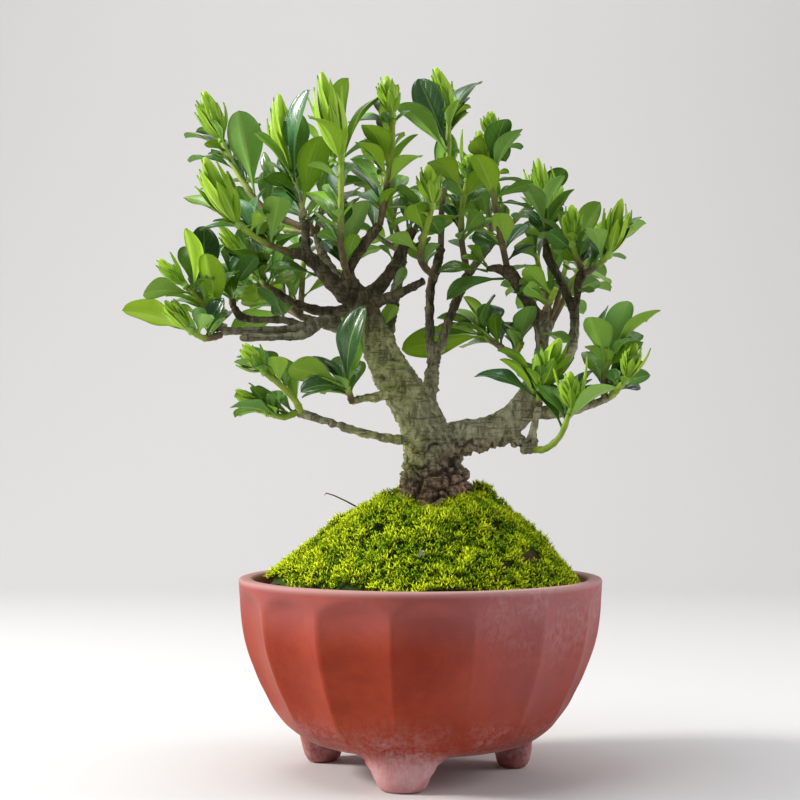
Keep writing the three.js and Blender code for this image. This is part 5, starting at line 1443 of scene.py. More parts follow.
# %% Shoots of the crown's middle and right side
SHOOTS += [
    ([(10.5, 262, 24), (11, 281, 30), (14, 303, 34), (14.5, 326, 36)],
     ((8, 352), 9, [(2.5, 341.5), (15, 345)]),
     [(-1, 346, 9.5, 311, 16, 1), (-10.5, 334.5, 11, 308, 10, 0), (-1.5, 337.5, 13, 316, 5.5, 1),
      (29, 346.5, 15, 319.5, 9, 1), (19.5, 335, 15.5, 318, 5, 0)]),
    ([(43.5, 251.5, 3), (38.5, 277.5, -10), (36, 298, -18), (35.5, 314, -22)],
     ((35.5, 330), 8, []),
     [(42.5, 325.5, 37, 300, 12, 0), (50, 321, 38, 297, 7, 0), (26.5, 316.5, 35, 303, 9.5, 0),
      (28, 308.5, 37.5, 280, 11, 0), (49, 292, 38, 285, 4.5, 1), (40, 279, 42, 258, 10.5, 0),
      (53, 272.5, 41.5, 259, 7.5, 1), (57, 261.5, 42.5, 254, 5, 1), (27, 268, 41, 262, 9, 1)]),
    ([(24, 248.5, 24), (21, 264, 14), (21, 280, 6), (23.5, 294, 2)],
     ((25, 308.5), 7.5, [(22.5, 321)]),
     [(6, 307, 22.5, 287, 11, 0), (31.5, 299.5, 23, 285, 8, 0), (34.5, 292, 22.5, 280, 7, 1),
      (30.5, 280, 21, 267, 9.5, 0), (37.5, 276, 21, 264, 7, 1), (13, 283, 21, 267, 8, 1),
      (34, 264, 22.5, 255, 8.5, 1)]),
    ([(7.5, 246, 22), (0, 256, 0), (3, 270, -16), (6, 281, -24)],
     ((4, 303), 9, [(9, 301)]),
     [(13, 292.5, 6, 279, 5, 1), (-2.5, 283, 4, 268.5, 13, 0), (-2.5, 263.5, 1, 249, 11, 0),
      (-20.5, 262.5, -1, 257.5, 7, 1), (4.5, 271, 2, 258, 5, 1), (-16.5, 268, 0, 258.5, 7, 0),
      (-8, 291, 4, 276, 9, 1)]),
    ([(63, 262, 18), (63, 267, 24), (63, 273, 30)],
     ((59, 306.5), 8, [(53, 301), (66, 302)]),
     [(50.5, 295.5, 62, 271, 8, 0), (70, 298, 63.5, 271, 8, 0), (52, 280, 62, 270, 5.5, 1),
      (76, 302, 64, 268, 9, 1), (77, 289.5, 64, 270, 6, 0), (57, 290, 62.5, 268.5, 8, 1)]),
    ([(81.4, 249.5, 11), (78.5, 256, 5), (76.5, 262, 0)],
     ((76, 283), 8, [(70.5, 279)]),
     [(90, 284, 78, 262, 11, 0), (64, 269.5, 77.5, 259.5, 9, 0), (60.5, 271.5, 78, 255, 8, 1),
      (73, 261, 79.5, 252.5, 9.5, 0), (82.5, 264, 79, 255, 6, 0), (87.5, 263, 80, 253, 8, 1),
      (87, 282.5, 79, 264, 6, 0)]),
    ([(82.8, 248.3, 9), (88.5, 252, -6), (94, 257, -16)],
     ((101, 286), 8, [(93, 281), (106, 280)]),
     [(113, 273.5, 93, 256, 5, 0), (86.5, 273, 91, 254.5, 9, 0), (92, 272.5, 93, 257, 7, 0),
      (106, 276.5, 92.5, 256, 8, 1)]),
]
print(len(SHOOTS), "shoots")

# %% Lower shoots on the right
SHOOTS += [
    ([(62.3, 229, -14), (65, 234, -18), (68, 241, -22)],
     None,
     [(52.5, 243, 65.5, 233, 8, 0), (52.5, 250.5, 67, 238, 9, 0)]),
    ([(46, 208, 12), (48.5, 209.3, 4), (51, 213.5, -2)],
     None,
     [(56, 231.5, 50.5, 212.5, 10.5, 0), (44.5, 221.5, 50.5, 213, 6, 1)]),
    ([(42.5, 210, 18), (36, 214.5, 26), (29.5, 219.5, 32)],
     None,
     [(-9, 210.5, 28, 218.5, 16, 0), (36.5, 233.5, 33.5, 216, 13, 1),
      (37, 237.5, 31.5, 219, 3.5, 0), (22.5, 237, 29.5, 220, 5, 0), (15, 230.5, 28.5, 220, 6, 1)]),
    ([(92, 185, -20), (92, 197, -24), (95.5, 208, -28)],
     None,
     [(86, 226.5, 92, 200, 12, 0), (104, 234, 95.5, 207, 13, 0), (93, 231.5, 95.5, 206, 5, 1),
      (120, 230, 95, 205.5, 6, 0), (103.5, 212, 93, 201, 8, 0), (112, 227, 94.5, 204, 6, 1)]),
    ([(95.5, 187, -20), (98, 189.5, -32), (102, 194, -36)],
     ((108, 213.5), 7.5, [(115, 211)]),
     [(114.5, 198, 100, 191.5, 7, 0), (95, 200, 99.5, 191, 7, 1), (110, 192.5, 98.5, 190, 6, 1)]),
    ([(57.5, 160, -20), (63.5, 161, -32), (70, 167, -38), (74.5, 178, -40)],
     ((75, 199.5), 8.5, [(81, 207), (68, 201.5)]),
     [(59, 193, 73, 174.5, 8, 1), (85.5, 200.5, 74.5, 174, 7, 1), (100, 201, 74, 173.5, 8, 1),
      (97, 192.5, 73.5, 172.5, 8, 0)]),
    ([(59.5, 182.5, -24), (59.3, 185, -26), (59.8, 188.5, -28)],
     ((70, 216), 14, [(76.5, 207), (61.5, 208)]),
     [(28, 199.5, 59, 185.5, 7.5, 1), (53, 204.5, 59.3, 186.5, 7, 1)]),
]
print(len(SHOOTS), "shoots")

# %% Lower shoots on the left
SHOOTS += [
    ([(-22, 216.5, 8), (-17.5, 221.5, 16)],
     None,
     [(-12, 232.5, -17, 221.5, 6, 0)]),
    ([(-100.5, 219.5, -20), (-104, 226, -20), (-111, 235.5, -22), (-116.5, 241, -22)],
     ((-131, 256), 7, [(-126, 259)]),
     [(-118, 271, -114, 239, 9, 0), (-108.5, 272, -109, 234, 14, 1),
      (-107.5, 258, -101, 224, 13.5, 0), (-138, 239, -114, 238, 9.5, 0),
      (-92, 250, -106, 229, 9, 1), (-123.7, 236, -106, 228, 6, 1), (-99, 262, -108, 236, 9, 1)]),
    ([(-100, 217.5, -20), (-108, 216, -30), (-114, 219, -34)],
     ((-128, 235), 7, [(-123, 236)]),
     [(-149, 230.5, -113, 218.5, 11, 0), (-126, 224, -108, 216, 8, 1),
      (-98, 236, -107, 216.5, 9, 1)]),
    ([(-93.5, 232, -6), (-94.5, 237, 4), (-95, 243, 12)],
     None,
     [(-98, 263, -95, 243, 8, 1), (-89, 262, -95, 242, 8, 1), (-82, 257, -94.5, 240, 9, 0),
      (-80, 240, -94, 235, 9, 0), (-105, 250, -95, 242, 9, 0)]),
    ([(-74, 240.5, 12), (-78, 243, 20), (-82, 247, 28)],
     ((-101, 274), 7, [(-96, 262)]),
     [(-66, 262, -77, 242.5, 12, 0), (-74, 266, -81, 246, 10, 1), (-92, 262, -82, 247, 9, 0),
      (-63, 248, -76, 242, 8, 1), (-67, 228, -75.5, 241, 12, 1)]),
    ([(-59.3, 178.6, -22), (-63, 185.5, -32), (-71, 193.5, -38), (-77, 198, -40)],
     ((-88, 213.5), 8, [(-80, 213), (-92, 203.5)]),
     [(-71.5, 207, -70, 192.5, 9.5, 0)]),
    ([(-61.5, 179, -22), (-68, 176.5, -24), (-75, 178, -24)],
     ((-92, 190.5), 7.5, [(-86, 193.5), (-83, 191.5)]),
     [(-72, 190.5, -73, 177.5, 7, 1), (-94, 181, -73, 177.5, 6, 0)]),
    ([(-34, 184, -20), (-35.5, 189, -24), (-38, 193.5, -26)],
     None,
     [(-66, 202.5, -38, 193.5, 13, 0), (-36.5, 227, -38, 193, 9, 0),
      (-30.5, 231.5, -37, 192.5, 12, 1), (-59, 190.5, -36.5, 191.5, 7, 1),
      (-54, 190, -35.5, 189.5, 6, 1)]),
]
print(len(SHOOTS), "shoots with", sum(len(shoot[2]) for shoot in SHOOTS), "leaves")

# %% Shoots on the far side
# Each has a foot, the ends of its forks, the pairs of leaves on a fork, and whether it bears new growth.
FAR_SHOOTS = [
    ((-52, 268, 50), [(-44, 304, 60), (-68, 292, 52), (-74, 272, 72)], 2, True),
    ((-8, 258, 54), [(-20, 298, 60), (8, 294, 70), (-26, 270, 82)], 2, True),
    ((36, 263, 52), [(32, 300, 56), (58, 286, 64), (20, 282, 80)], 2, True),
    ((66, 224, 50), [(84, 258, 52), (58, 258, 66), (74, 256, 78)], 2, True),
    ((-60, 227, 50), [(-84, 250, 52), (-58, 258, 66), (-80, 238, 76)], 2, False),
]
FAR_LEAF_LENGTH = (26, 34)
FAR_LEAF_WIDTH = 0.42
FAR_BUD_LENGTH = 22
FAR_BUD_WIDTH = 8

# %% [markdown]
# A few leaves are given a look of their own, as in the photograph: nearly black-green ones deep in the crown,
# whose dark is partly their own and partly painted shade, bluish ones that mirror the sky, where the sky's
# reflection is painted into their colour, olive ones and pale ones seen from below. They are named here by
# their place in the front view. All others draw their look from the seed.

# %% Colours by place
# The darkest look is dark green with painted shade deep in the crown; the two bluish looks carry a painted
# reflection of the sky.
DARK_AND_SHADED, DARK_WITH_SKY_SHEEN, PAINTED_SKY_SHEEN = (0.06, 0.35), (0.12, 0.0), (0.5, 0.0)
OLIVE, PALE, BRIGHT, PALE_OLIVE = (0.5, 0.95), (0.95, 0.3), (0.8, 0.7), (0.85, 0.85)
LOOK_REACH = 5.5
DRAWN_TONE = (0.5, 0.36)
LOOKS = [
    (-2, 346, DARK_AND_SHADED), (29.5, 347, DARK_AND_SHADED), (75.5, 302, DARK_AND_SHADED), (37.5, 232, DARK_AND_SHADED), (112.5, 272.5, PALE),
    (51, 296, PALE), (69.5, 298, PALE), (97, 191.5, PALE), (-7.5, 298, BRIGHT), (39.5, 278.5, BRIGHT),
    (22.5, 237, BRIGHT), (15, 230.5, BRIGHT), (-9, 210.5, OLIVE), (-65.5, 201, BRIGHT),
    (60, 271, DARK_WITH_SKY_SHEEN), (55, 260.5, DARK_WITH_SKY_SHEEN), (100, 201, (0.65, 0.6)), (59, 193, (0.7, 0.4)),
    (53, 204.5, (0.6, 0.4)), (28, 199.5, (0.3, 0.05)),
    (83, 257.5, DARK_WITH_SKY_SHEEN), (-85.5, 247.5, DARK_WITH_SKY_SHEEN), (109.5, 193.5, DARK_WITH_SKY_SHEEN), (-28, 285, PALE),
    (-22.5, 262.5, PALE), (-56.5, 341, PAINTED_SKY_SHEEN), (-53.5, 330, OLIVE), (-49.5, 264, DARK_AND_SHADED), (-49.5, 318, OLIVE),
    (-36.5, 303, DARK_AND_SHADED), (-26.5, 324.5, OLIVE), (-31, 315, OLIVE), (-13, 343, PALE_OLIVE), (29, 309, OLIVE),
    (12, 284, DARK_AND_SHADED), (-9, 283, OLIVE), (-108.5, 273, DARK_AND_SHADED), (-108, 258, OLIVE),
    (-30, 231, DARK_AND_SHADED),
]
LEAF_SEED = 911
leaf_draws = np.random.default_rng(LEAF_SEED)


def drawn_look(draws, tone, tint):
    return np.clip(draws.normal(*tone), 0, 1), draws.uniform(*tint)


def look_of(leaf):
    tip_x, tip_z, base_x, base_z = leaf[:4]
    middle_x, middle_z = (tip_x + base_x) / 2, (tip_z + base_z) / 2
    drawn = drawn_look(leaf_draws, DRAWN_TONE, (0, 1))
    for x, z, look in LOOKS:
        away = min(math.hypot(tip_x - x, tip_z - z), math.hypot(middle_x - x, middle_z - z))
        if away < LOOK_REACH:
            return look
    return drawn


print(len(LOOKS), "leaves have a colour of their own")

# %% [markdown]
# A grown leaf is about 36 mm long. The length that shows and the true one give how far its tip lies in front
# of its foot or behind, by the rule of the right triangle. The narrowed width gives its roll in the same way.

# %% Leaves at their true length
LEAST_WIDTH = 0.39
TRUE_LENGTH = 36
LEAST_STRETCH, MOST_STRETCH = 1.03, 1.35
TOWARD_EYE, FROM_EYE = Vector((0, -1, 0)), Vector((0, 1, 0))
UPPER_SIDE = Vector((0, -0.8, 0.6))
LOWEST_ROOT = 0.08
ROOT_TO_END = 4
BEND_STEPS = [0, 3, -3, 6, -6, 9, -9, 13, -13, 17, -17, 22, -22, 28, -28]
TIP_REACH = 0.4


def nearest_on_stem(stem, x, z):
    best = None
    for i in range(len(stem) - 1):
        (ax, az, ad), (bx, bz, bd) = stem[i], stem[i + 1]
        square = (bx - ax) ** 2 + (bz - az) ** 2
        most = max(LOWEST_ROOT, 1 - ROOT_TO_END / math.sqrt(square)) if i == len(stem) - 2 else 1
        share = ((x - ax) * (bx - ax) + (z - az) * (bz - az)) / square
        share = max(LOWEST_ROOT, min(most, share))
        point = (ax + (bx - ax) * share, az + (bz - az) * share, ad + (bd - ad) * share)
        distance = math.hypot(point[0] - x, point[1] - z)
        if best is None or distance < best[1]:
            best = (point, distance)
    return best[0]


def front_leaf(stem, leaf, bend):
    """Root, tip, width, facing and roll of a listed leaf, at its true length."""
    tip_x, tip_z, base_x, base_z, width, top_shows = leaf
    root = nearest_on_stem(stem, base_x, base_z)
    flat = math.hypot(tip_x - root[0], tip_z - root[1])
    real = max(flat * LEAST_STRETCH, min(flat * MOST_STRETCH, TRUE_LENGTH))
    rises = 1 if tip_z > base_z else -1
    side = 1 if top_shows else -1
    lean = math.sqrt(real * real - flat * flat) * rises * side
    true_width = max(width, LEAST_WIDTH * real)
    face = TOWARD_EYE if top_shows else FROM_EYE
    start, tip = seen(*root), seen(tip_x, tip_z, root[2] + lean + bend)
    along = (tip - start).normalized()
    turn = math.acos(min(1, width / true_width))
    roll = -turn if along.cross(facing(along, face)).z < 0 else turn
    return start, tip, true_width * MM, face, roll


def tips_of(node):
    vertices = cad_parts[node].data.vertices
    tree = kdtree.KDTree(len(vertices))
    for i, vertex in enumerate(vertices):
        tree.insert(vertex.co, i)
    tree.balance()
    return tree


def is_there(tree, tip):
    return tree.find(tip)[2] < TIP_REACH * MM


# %% [markdown]
# New growth is a tight lime bud. Two young leaves clasp each other round the growing point, so the bud has a
# seam where the outer one ends and a soft groove along each midrib. About a dozen pointed leaflets, as broad
# as the bud, stand round it; they start at its foot, follow its belly and spread a little at their tips. The
# seam and the grooves are painted darker as painted shade, and the bud darkens toward its foot.

# %% New growth
BUD_OUTLINE = [
    (0, 0.3), (0.1, 0.42), (0.28, 0.66), (0.42, 0.88), (0.56, 1), (0.7, 1), (0.79, 0.93), (0.88, 0.76),
    (0.95, 0.5), (0.985, 0.28), (1, 0.03),
]
BUD_SIDES = 22
BUD_FLATNESS = 0.86
BUD_GAP = 0.35
BUD_FOOT = 2
LEAFLET_TIPS = [(0.74, -0.62, -0.3), (0.64, 0.6, 0.22)]
MORE_LEAFLETS = [
    (0.95, -0.2, -0.22), (0.9, 0.24, -0.26), (0.82, -0.42, -0.3), (0.76, 0.46, -0.28), (0.64, 0.02, -0.6),
    (0.62, -0.6, -0.16), (0.56, 0.6, -0.2), (0.78, -0.3, 0.42), (0.7, 0.36, 0.42),
]
LEAFLET_SHARE = (0.54, 0.7)
WIDE_BUD = 12
LEAFLET_WIDTH = 3
CAMERA_SIDE = -math.pi / 2
SLIM_BUD, SLIM_WIDE_BUD, SEAM_TURN, BUD_LOOK = 0.6, 0.46, (-0.5, 0.5), (0.66, 0.6)
BUD_STEM_RADII, BUD_SETBACK, LEAFLET_ROLL = [1.7, 1.7, 1.2], 1.2, (-0.35, 0.35)
SEAM_SLANT, OUTER_LAYER, LAYER_STEP = 0.5, 1.11, 0.22
RIB_GROOVE, RIB_GROOVE_WIDTH, CREASES = 0.07, 0.1, 0.035
YOUNG = {"fold": 0.4, "wave": 0.8, "young": True, "grid": (12, 5)}
YOUNG_ARCH = (0.1, 0.16)


def leaflet_tip(end, rise, width, place):
    share, right, back = place
    return end + rise * share + Vector((right * width, back * width, 0))


def tuft_tips(end, tip, width, more):
    """Tips of the bud, of the listed leaflets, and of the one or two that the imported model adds."""
    rest = LEAFLET_TIPS[:max(1, len(LEAFLET_TIPS) - len(more))]
    return [tip] + more + [leaflet_tip(end, tip - end, width, place) for place in rest]


def add_bud(stock, base, tip, width, seam, look):
    axis = tip - base
    right = (Vector((1, 0, 0)) - axis * (axis.x / axis.length_squared)).normalized()
    back = axis.normalized().cross(right)
    outline = fine_outline(BUD_OUTLINE, 3)
    share, wide = outline[:, :1], outline[:, 1:]
    turn = (2 * np.pi * np.arange(BUD_SIDES) / BUD_SIDES)[None, :]
    across = ((turn - seam - SEAM_SLANT * (share - 0.5)) / np.pi) % 1
    grooved = 1 - RIB_GROOVE * np.exp(-(((across - 0.5) / RIB_GROOVE_WIDTH) ** 2))
    wrapped = (OUTER_LAYER - LAYER_STEP * across) * grooved
    radius = wide * width / 2 * wrapped * (1 - CREASES * np.abs(np.sin(3 * np.pi * across)) ** 4)
    points = np.array(base) + share[..., None] * np.array(axis)
    points = points + (np.cos(turn) * radius)[..., None] * np.array(right)
    points = points + (np.sin(turn) * radius * BUD_FLATNESS)[..., None] * np.array(back)
    rings = len(outline)
    along = share * np.ones_like(turn)
    uvs = np.stack([across, along], axis=-1).reshape(-1, 2)
    faces = [grid(rings, BUD_SIDES, closed=True)] + end_caps(rings, BUD_SIDES)
    # The seam and the midrib groove are painted darker, as painted shade; the bud also darkens toward its
    # foot.
    seam_shade = np.exp(-((np.minimum(across, 1 - across) / 0.06) ** 2))
    seam_shade = seam_shade + 0.5 * np.exp(-(((across - 0.5) / 0.05) ** 2))
    shaded_tones = np.clip(look[0] - 0.75 * (1 - along) ** 1.5 - 0.4 * seam_shade * (1 - along**3) + 0.2 * along, 0, 1)
    stock.add(points.reshape(-1, 3), faces, 0, uvs, shaded_tones.ravel(), look[1], along.ravel())


def build_tuft(number, end, along, tips, width, draws):
    stock = Stock()
    base = end + along * BUD_GAP * MM
    start = base + along * BUD_FOOT * MM
    rise = tips[0] - end
    add_stem(stock, [base, base.lerp(start, 0.5), start.lerp(tips[0], 0.12)], BUD_STEM_RADII, 0)
    slim = width * (SLIM_WIDE_BUD if width > WIDE_BUD * MM else SLIM_BUD)
    seam = CAMERA_SIDE + draws.uniform(*SEAM_TURN)
    add_bud(stock, base + along * BUD_SETBACK * MM, tips[0], slim, seam, BUD_LOOK)
    leaflets = tips[1:] + [leaflet_tip(end, rise, width, place) for place in MORE_LEAFLETS]
    for tip in leaflets:
        height = (tip - start).dot(rise) / rise.length_squared
        face = (start + rise * height - tip).normalized()
        wide = max(draws.uniform(*LEAFLET_SHARE) * width, LEAFLET_WIDTH * MM)
        shape = {**YOUNG, "arch": -draws.uniform(*YOUNG_ARCH)}
        look = drawn_look(draws, (0.9 * height - 0.12, 0.16), (0.2, 0.9))
        add_leaf(stock, start, tip, wide, face, draws.uniform(*LEAFLET_ROLL), look, (0, 0), draws, shape)
    return make_piece(f"new_growth_{number:02d}", stock, [new_leaf], [f"bud_{number:02d}"])


# %% [markdown]
# The listed leaves are those that the photograph shows one by one. Behind them the crown is filled with the
# leaves that only show as green between the others. They grow from the same stems, point back and aside,
# and each must keep clear of every leaf that is there already and stay inside the plant's own extent.
# Shorter ones stand all round each stem, so that little bare wood shows in the crown.

# %% Filling leaves
# Lengths and clearances are in millimetres, angles in radians; light is the tone that a leaf is drawn round.
LONG_FILL = {"length": (20, 31), "turn": (-0.2, math.pi + 0.2), "lift": (-0.25, 1.0)}
LONG_FILL |= {"clear": 3.4, "light": 0.4}
SHORT_FILL = {"length": (11, 19), "turn": (0, 2 * math.pi), "lift": (0.1, 1.1), "clear": 2.6, "light": 0.55}
FILL_WIDTH, FILL_ROLL, FILL_ROOTS, FILL_FACE = (0.4, 0.48), (-0.5, 0.5), (0.25, 0.95), Vector((0, 0.1, 1))
FILL_TONE_SPREAD = 0.28
EXTENT_ROOM = 2
FILL_TRIES = 60
FILL_SHARES = (0.45, 0.7, 1.0)
FRONT_FILL, SHORT_COUNT, FAR_FILL = 8, 5, 11
SIDE_ROOM = 2.5
taken = []
filled = 0


def leaf_samples(root, tip):
    return [np.array(root.lerp(tip, share)) for share in FILL_SHARES]


def inside_plant(point):
    room = EXTENT_ROOM * MM
    return all(cad_low[i] + room < point[i] < cad_high[i] - room for i in range(3))


def fill_shoot(stock, points, count, low, high, draws, kind=LONG_FILL):
    """Adds up to count leaves between two corners of space, clear of all the leaves so far."""
    global filled
    added = 0
    for _ in range(FILL_TRIES * count):
        if added == count:
            return
        span = draws.integers(0, len(points) - 1)
        root = points[span].lerp(points[span + 1], draws.uniform(*FILL_ROOTS))
        turn = draws.uniform(*kind["turn"])
        lift = draws.uniform(*kind["lift"])
        out = Vector((math.cos(turn) * math.cos(lift), math.sin(turn) * math.cos(lift), math.sin(lift)))
        length = draws.uniform(*kind["length"]) * MM
        tip = root + out * length
        if not inside_plant(tip) or any(tip[i] < low[i] or tip[i] > high[i] for i in (0, 2)):
            continue
        samples = leaf_samples(root, tip)
        others = np.array(taken)
        gaps = [np.linalg.norm(others - sample, axis=1).min() for sample in samples]
        if min(gaps) < kind["clear"] * MM:
            continue
        taken.extend(samples)
        look = drawn_look(draws, (kind["light"], FILL_TONE_SPREAD), (0, 1))
        wide = draws.uniform(*FILL_WIDTH) * length
        roll = draws.uniform(*FILL_ROLL)
        add_leaf(stock, root, tip, wide, FILL_FACE, roll, look, LEAF_SLOTS, draws, FILLING)
        added += 1
        filled += 1


# %% [markdown]
# The listed leaves of all shoots come first, so that no filling leaf takes the room of one. A listed leaf
# whose tip isn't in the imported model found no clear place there, and is left out here too.

# %% Growing the front shoots
LEAF_SLOTS = (0, 1)
STEM_SLOT = 2
LEAF_FINISHES = [leaf_top, leaf_under, green_stem]
STEM_RADII = (1.7, 1.35)
GREEN_SHOOTS = (17, 18, 25, 26)
stem_points = []
front = []
for number, (stem, bud, leaves) in enumerate(SHOOTS, start=1):
    tree = tips_of(f"spray_{number:02d}")
    stock = Stock()
    points = [seen(*point) for point in stem]
    add_stem(stock, points, STEM_RADII, STEM_SLOT, 1.0 if number in GREEN_SHOOTS else 0.0)
    found = []
    for leaf in leaves:
        plans = (front_leaf(stem, leaf, bend) for bend in BEND_STEPS)
        plan = next((plan for plan in plans if is_there(tree, plan[1])), None)
        if plan is None:
            continue
        add_leaf(stock, *plan, look_of(leaf), LEAF_SLOTS, leaf_draws)
        taken += leaf_samples(plan[0], plan[1])
        found.append(plan[1])
    stem_points += points
    front.append((number, stock, points, bud, stem[-1][2], found))
print(sum(len(shoot[5]) for shoot in front), "leaves listed on the front shoots")

# %% Tufts and filling of the front shoots
for number, stock, points, bud, depth, found in front:
    end = points[-1]
    along = (end - points[-2]).normalized()
    if bud:
        (tip_x, tip_z), width, more = bud
        tips = tuft_tips(end, seen(tip_x, tip_z, depth), width * MM, [seen(x, z, depth) for x, z in more])
        build_tuft(number, end, along, tips, width * MM, leaf_draws)
        found = found + tips
    room = SIDE_ROOM * MM
    low = [min(tip[i] for tip in found) - room for i in range(3)]
    high = [max(tip[i] for tip in found) for i in range(3)]
    fill_shoot(stock, points, FRONT_FILL, low, high, leaf_draws)
    fill_shoot(stock, points, SHORT_COUNT, low, high, leaf_draws, SHORT_FILL)
    make_piece(f"leafy_shoot_{number:02d}", stock, LEAF_FINISHES, [f"spray_{number:02d}"])
print(filled, "filling leaves behind and round them")

# %% [markdown]
# The far side isn't in the photograph. Its shoots follow the plant's own habit: forks from one foot, and on
# each fork pairs of leaves that stand across the pair below. A plain repeatable draw varies them.

# %% Leaves of the far shoots
FAR_PAIRS = (0.3, 0.6)
FAR_LIFT = (0.5, 0.95)
FAR_SWING = 0.3
FAR_LEAF_START = 0.8
LAST_LEAF_START = 0.95
DRAW_FACTOR, DRAW_STEP, DRAW_RANGE = 1664525, 1013904223, 4294967296
seed = 20281


def draw(low, high):
    """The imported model's own draw, so that both grow the same far side."""
    global seed
    seed = (seed * DRAW_FACTOR + DRAW_STEP) % DRAW_RANGE
    return low + (high - low) * seed / DRAW_RANGE


def far_leaves(foot, fork, fork_number, pairs, grows):
    """Leaves of one fork as (root, tip, width, facing, roll)."""
    along = (fork - foot).normalized()
    sideways = Vector((along.z, along.x, -along.y)).cross(along).normalized()
    leaves = []
    for pair, half in product(range(pairs), range(2)):
        root = foot.lerp(fork, FAR_PAIRS[0] + FAR_PAIRS[1] * pair / (pairs - 1))
        turn = math.pi * half + math.pi / 2 * pair + draw(-FAR_SWING, FAR_SWING) + fork_number
        length = draw(*FAR_LEAF_LENGTH) * MM
        out = Quaternion(along, turn) @ sideways
        lift = draw(*FAR_LIFT)
        tip = root + out * (length * math.cos(lift)) + along * (length * math.sin(lift))
        start = root + out * FAR_LEAF_START * MM
        leaves.append((start, tip, FAR_LEAF_WIDTH * length, along, draw(-FAR_SWING, FAR_SWING)))
    if fork_number > 0 or not grows:
        crown = fork + along * FAR_BUD_LENGTH * MM
        leaves.append((foot.lerp(fork, LAST_LEAF_START), crown, FAR_BUD_WIDTH * MM, sideways, 0))
    return leaves


# %% Growing the far shoots
FAR_REACH = 34
FAR_TONE, FAR_TINT = (0.3, 0.2), (0.15, 0.85)
far_count = 0
for number, (foot, forks, pairs, grows) in enumerate(FAR_SHOOTS, start=len(SHOOTS) + 1):
    tree = tips_of(f"spray_{number:02d}")
    stock = Stock()
    start = seen(*foot)
    ends = [seen(*fork) for fork in forks]
    for fork_number, end in enumerate(ends):
        add_stem(stock, [start, end], STEM_RADII, STEM_SLOT)
        for root, tip, width, face, roll in far_leaves(start, end, fork_number, pairs, grows):
            bent = (tip + Vector((0, 0, bend * MM)) for bend in BEND_STEPS)
            place = next((place for place in bent if is_there(tree, place)), None)
            if place is None:
                continue
            look = drawn_look(leaf_draws, FAR_TONE, FAR_TINT)
            add_leaf(stock, root, place, width, face, roll, look, LEAF_SLOTS, leaf_draws)
            taken += leaf_samples(root, place)
            far_count += 1
    if grows:
        along = (ends[0] - start).normalized()
        crown = ends[0] + along * FAR_BUD_LENGTH * MM
        tips = tuft_tips(ends[0], crown, FAR_BUD_WIDTH * MM, [])
        build_tuft(number, ends[0], along, tips, FAR_BUD_WIDTH * MM, leaf_draws)
    low = [min(end[i] for end in ends) - FAR_REACH * MM for i in range(3)]
    high = [max(end[i] for end in ends) + FAR_REACH * MM for i in range(3)]
    for end in ends:
        fill_shoot(stock, [start, end], FAR_FILL // 3, low, high, leaf_draws)
    make_piece(f"leafy_shoot_{number:02d}", stock, LEAF_FINISHES, [f"spray_{number:02d}"])
print(far_count, "leaves on the far shoots,", filled, "filling leaves in all")

# %% [markdown]
# Some twenty little leaves sprout straight from the older wood. Each is listed by its tip and foot in the
# front view; its depth is that of the wood or stem nearest to the foot.

# %% Small leaves on the wood
SMALL_LEAVES = [
    (-78, 300, -75, 291), (-76.5, 293, -75, 286), (-50, 285, -55.5, 277.5), (-63.5, 331, -60.5, 321),
    (-45.5, 303, -38.5, 299), (-20.5, 262.5, -14.5, 256), (-10, 269.5, -8, 265), (-7, 251.5, -14.5, 241.5),
    (25.5, 259.5, 29, 254), (-10, 287, -6, 274), (-4, 285, -5, 274), (2, 280, -6, 274),
    (-67, 244.5, -62.5, 237), (-82.5, 240.5, -68.5, 227.5), (20.5, 256.5, 29, 250.5), (24, 262.5, 29.5, 252),
    (9, 248.5, 33, 240), (13, 236.5, 33, 234.5), (75.5, 214.5, 61.5, 219), (-75, 251.5, -59, 242.5),
    (87.5, 239.5, 79.5, 237),
]
SMALL_WIDTH, SMALL_ROLL = 0.42, 0.3
SMALL_TONE, SMALL_TINT = (0.3, 0.9), (0.4, 1)
ANCHOR_STEP = 5
# Depth counts little in the search, which looks a bit in front of the axis.
DEPTH_SHARE, DEPTH_SOUGHT, TIP_IN_FRONT = 0.3, -4, 3
wood_points = wood.data.vertices
anchors = [wood_points[i].co.copy() for i in range(0, len(wood_points), ANCHOR_STEP)] + stem_points
flat_tree = kdtree.KDTree(len(anchors))
for i, point in enumerate(anchors):
    local = (point - BOWL_AXIS) / MM
    flat_tree.insert((*as_seen(*local), DEPTH_SHARE * local.y), i)
flat_tree.balance()
stock = Stock()
for tip_x, tip_z, base_x, base_z in SMALL_LEAVES:
    root = anchors[flat_tree.find((base_x, base_z, DEPTH_SOUGHT))[1]]
    depth = (root.y - AXIS_Y) / MM
    tip = seen(tip_x, tip_z, depth - TIP_IN_FRONT)
    look = (leaf_draws.uniform(*SMALL_TONE), leaf_draws.uniform(*SMALL_TINT))
    wide = SMALL_WIDTH * (tip - root).length
    add_leaf(stock, root, tip, wide, UPPER_SIDE, SMALL_ROLL, look, LEAF_SLOTS, leaf_draws, SMALL)
make_piece("small_leaves", stock, LEAF_FINISHES)
print(len(SMALL_LEAVES), "small leaves on the wood")

# %% [markdown]
# Three scraps lie in the moss: a dry bristle that sticks out on the left, a pebble at the foot of the trunk,
# and a flake of dead leaf in front.

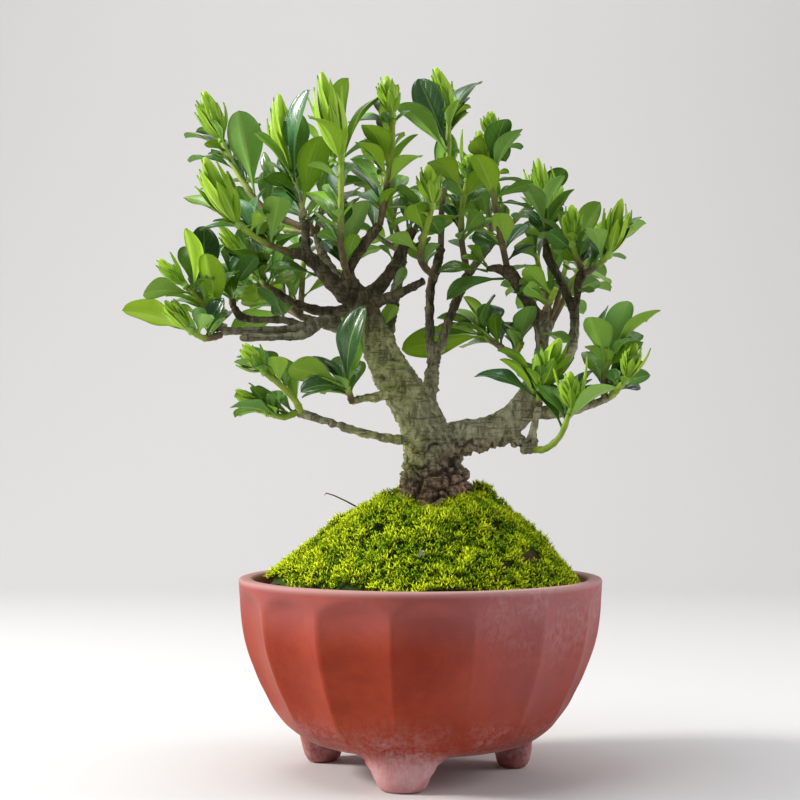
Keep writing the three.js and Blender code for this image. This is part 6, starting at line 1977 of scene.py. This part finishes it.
# %% Litter in the moss
# Places are those of the front view. The flake has a foot, a tip and a width.
BRISTLE = [(-31.5, 131.5), (-37, 134.5), (-43, 137.3), (-47, 138.5), (-47.8, 137.4)]
BRISTLE_RADII = (0.45, 0.4, 0.35, 0.3, 0.2)
PEBBLE, PEBBLE_SIZE, PEBBLE_LIFT, PEBBLE_LUMPS = (3.5, 132.5), (2.3, 2, 1.7), 1.5, 0.15
PEBBLE_RINGS, PEBBLE_SIDES, PEBBLE_TOP = 9, 14, 1.45
FLAKE, FLAKE_LIFT = ((-1.5, 104.5), (2.5, 106.8), 2.6), (0, -1, 2.4)
DARK_LITTER, PALE_LITTER = (0.07, 0.045, 0.025), (0.42, 0.38, 0.27)

litter, bench, shader = new_material("dry_litter", Roughness=0.75)
bench.feed(shader["Base Color"], bench.blend(bench.attribute("tone"), DARK_LITTER, PALE_LITTER))


def on_moss(view_x, view_z):
    """The point of the moss's front half that the camera sees at a place of the front view."""
    radius, turn = np.meshgrid(np.linspace(HOLE_RADIUS, 76, 120), np.linspace(-np.pi, 0, 180), indexing="ij")
    x, y, z = moss_surface(radius, turn)
    across, up = as_seen(x, y, z)
    away = np.hypot(across - view_x, up - view_z)
    best = np.unravel_index(np.argmin(away), away.shape)
    return Vector((x[best], y[best], z[best])) * MM + BOWL_AXIS


stock = Stock()
foot = on_moss(*BRISTLE[0])
depth = (foot.y - AXIS_Y) / MM
radii = [radius * MM for radius in BRISTLE_RADII]
bristle_points, faces = tube([seen(x, z, depth) for x, z in BRISTLE], radii, 8)
stock.add(bristle_points, faces, tone=0.1)
centre = on_moss(*PEBBLE) + Vector((0, 0, PEBBLE_LIFT)) * MM
levels = np.linspace(-PEBBLE_TOP, PEBBLE_TOP, PEBBLE_RINGS)
around = 2 * np.pi * np.arange(PEBBLE_SIDES) / PEBBLE_SIDES
rise, turn = np.meshgrid(levels, around, indexing="ij")
ball = np.stack([np.cos(rise) * np.cos(turn), np.cos(rise) * np.sin(turn), np.sin(rise)], axis=-1)
ball = ball.reshape(-1, 3)
ball = ball * np.array(PEBBLE_SIZE) * (1 + PEBBLE_LUMPS * noisy(ball, 1.1, 31))[:, None]
faces = [grid(PEBBLE_RINGS, PEBBLE_SIDES, closed=True)] + end_caps(PEBBLE_RINGS, PEBBLE_SIDES)
stock.add(ball * MM + np.array(centre), faces, tone=0.6)
lift = Vector(FLAKE_LIFT) * MM
flake_from, flake_to = on_moss(*FLAKE[0]) + lift, on_moss(*FLAKE[1]) + lift
add_leaf(stock, flake_from, flake_to, FLAKE[2] * MM, UPPER_SIDE, 0.4, (0.8, 0.5), (0, 0), leaf_draws)
make_piece("moss_litter", stock, [litter])
print("bristle, pebble and flake lie in the moss")

# %% Sizes for the record, and the end
low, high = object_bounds()
largest = max(triangles_made, key=triangles_made.get)
print("triangles in all:", sum(triangles_made.values()), "largest:", largest, triangles_made[largest])
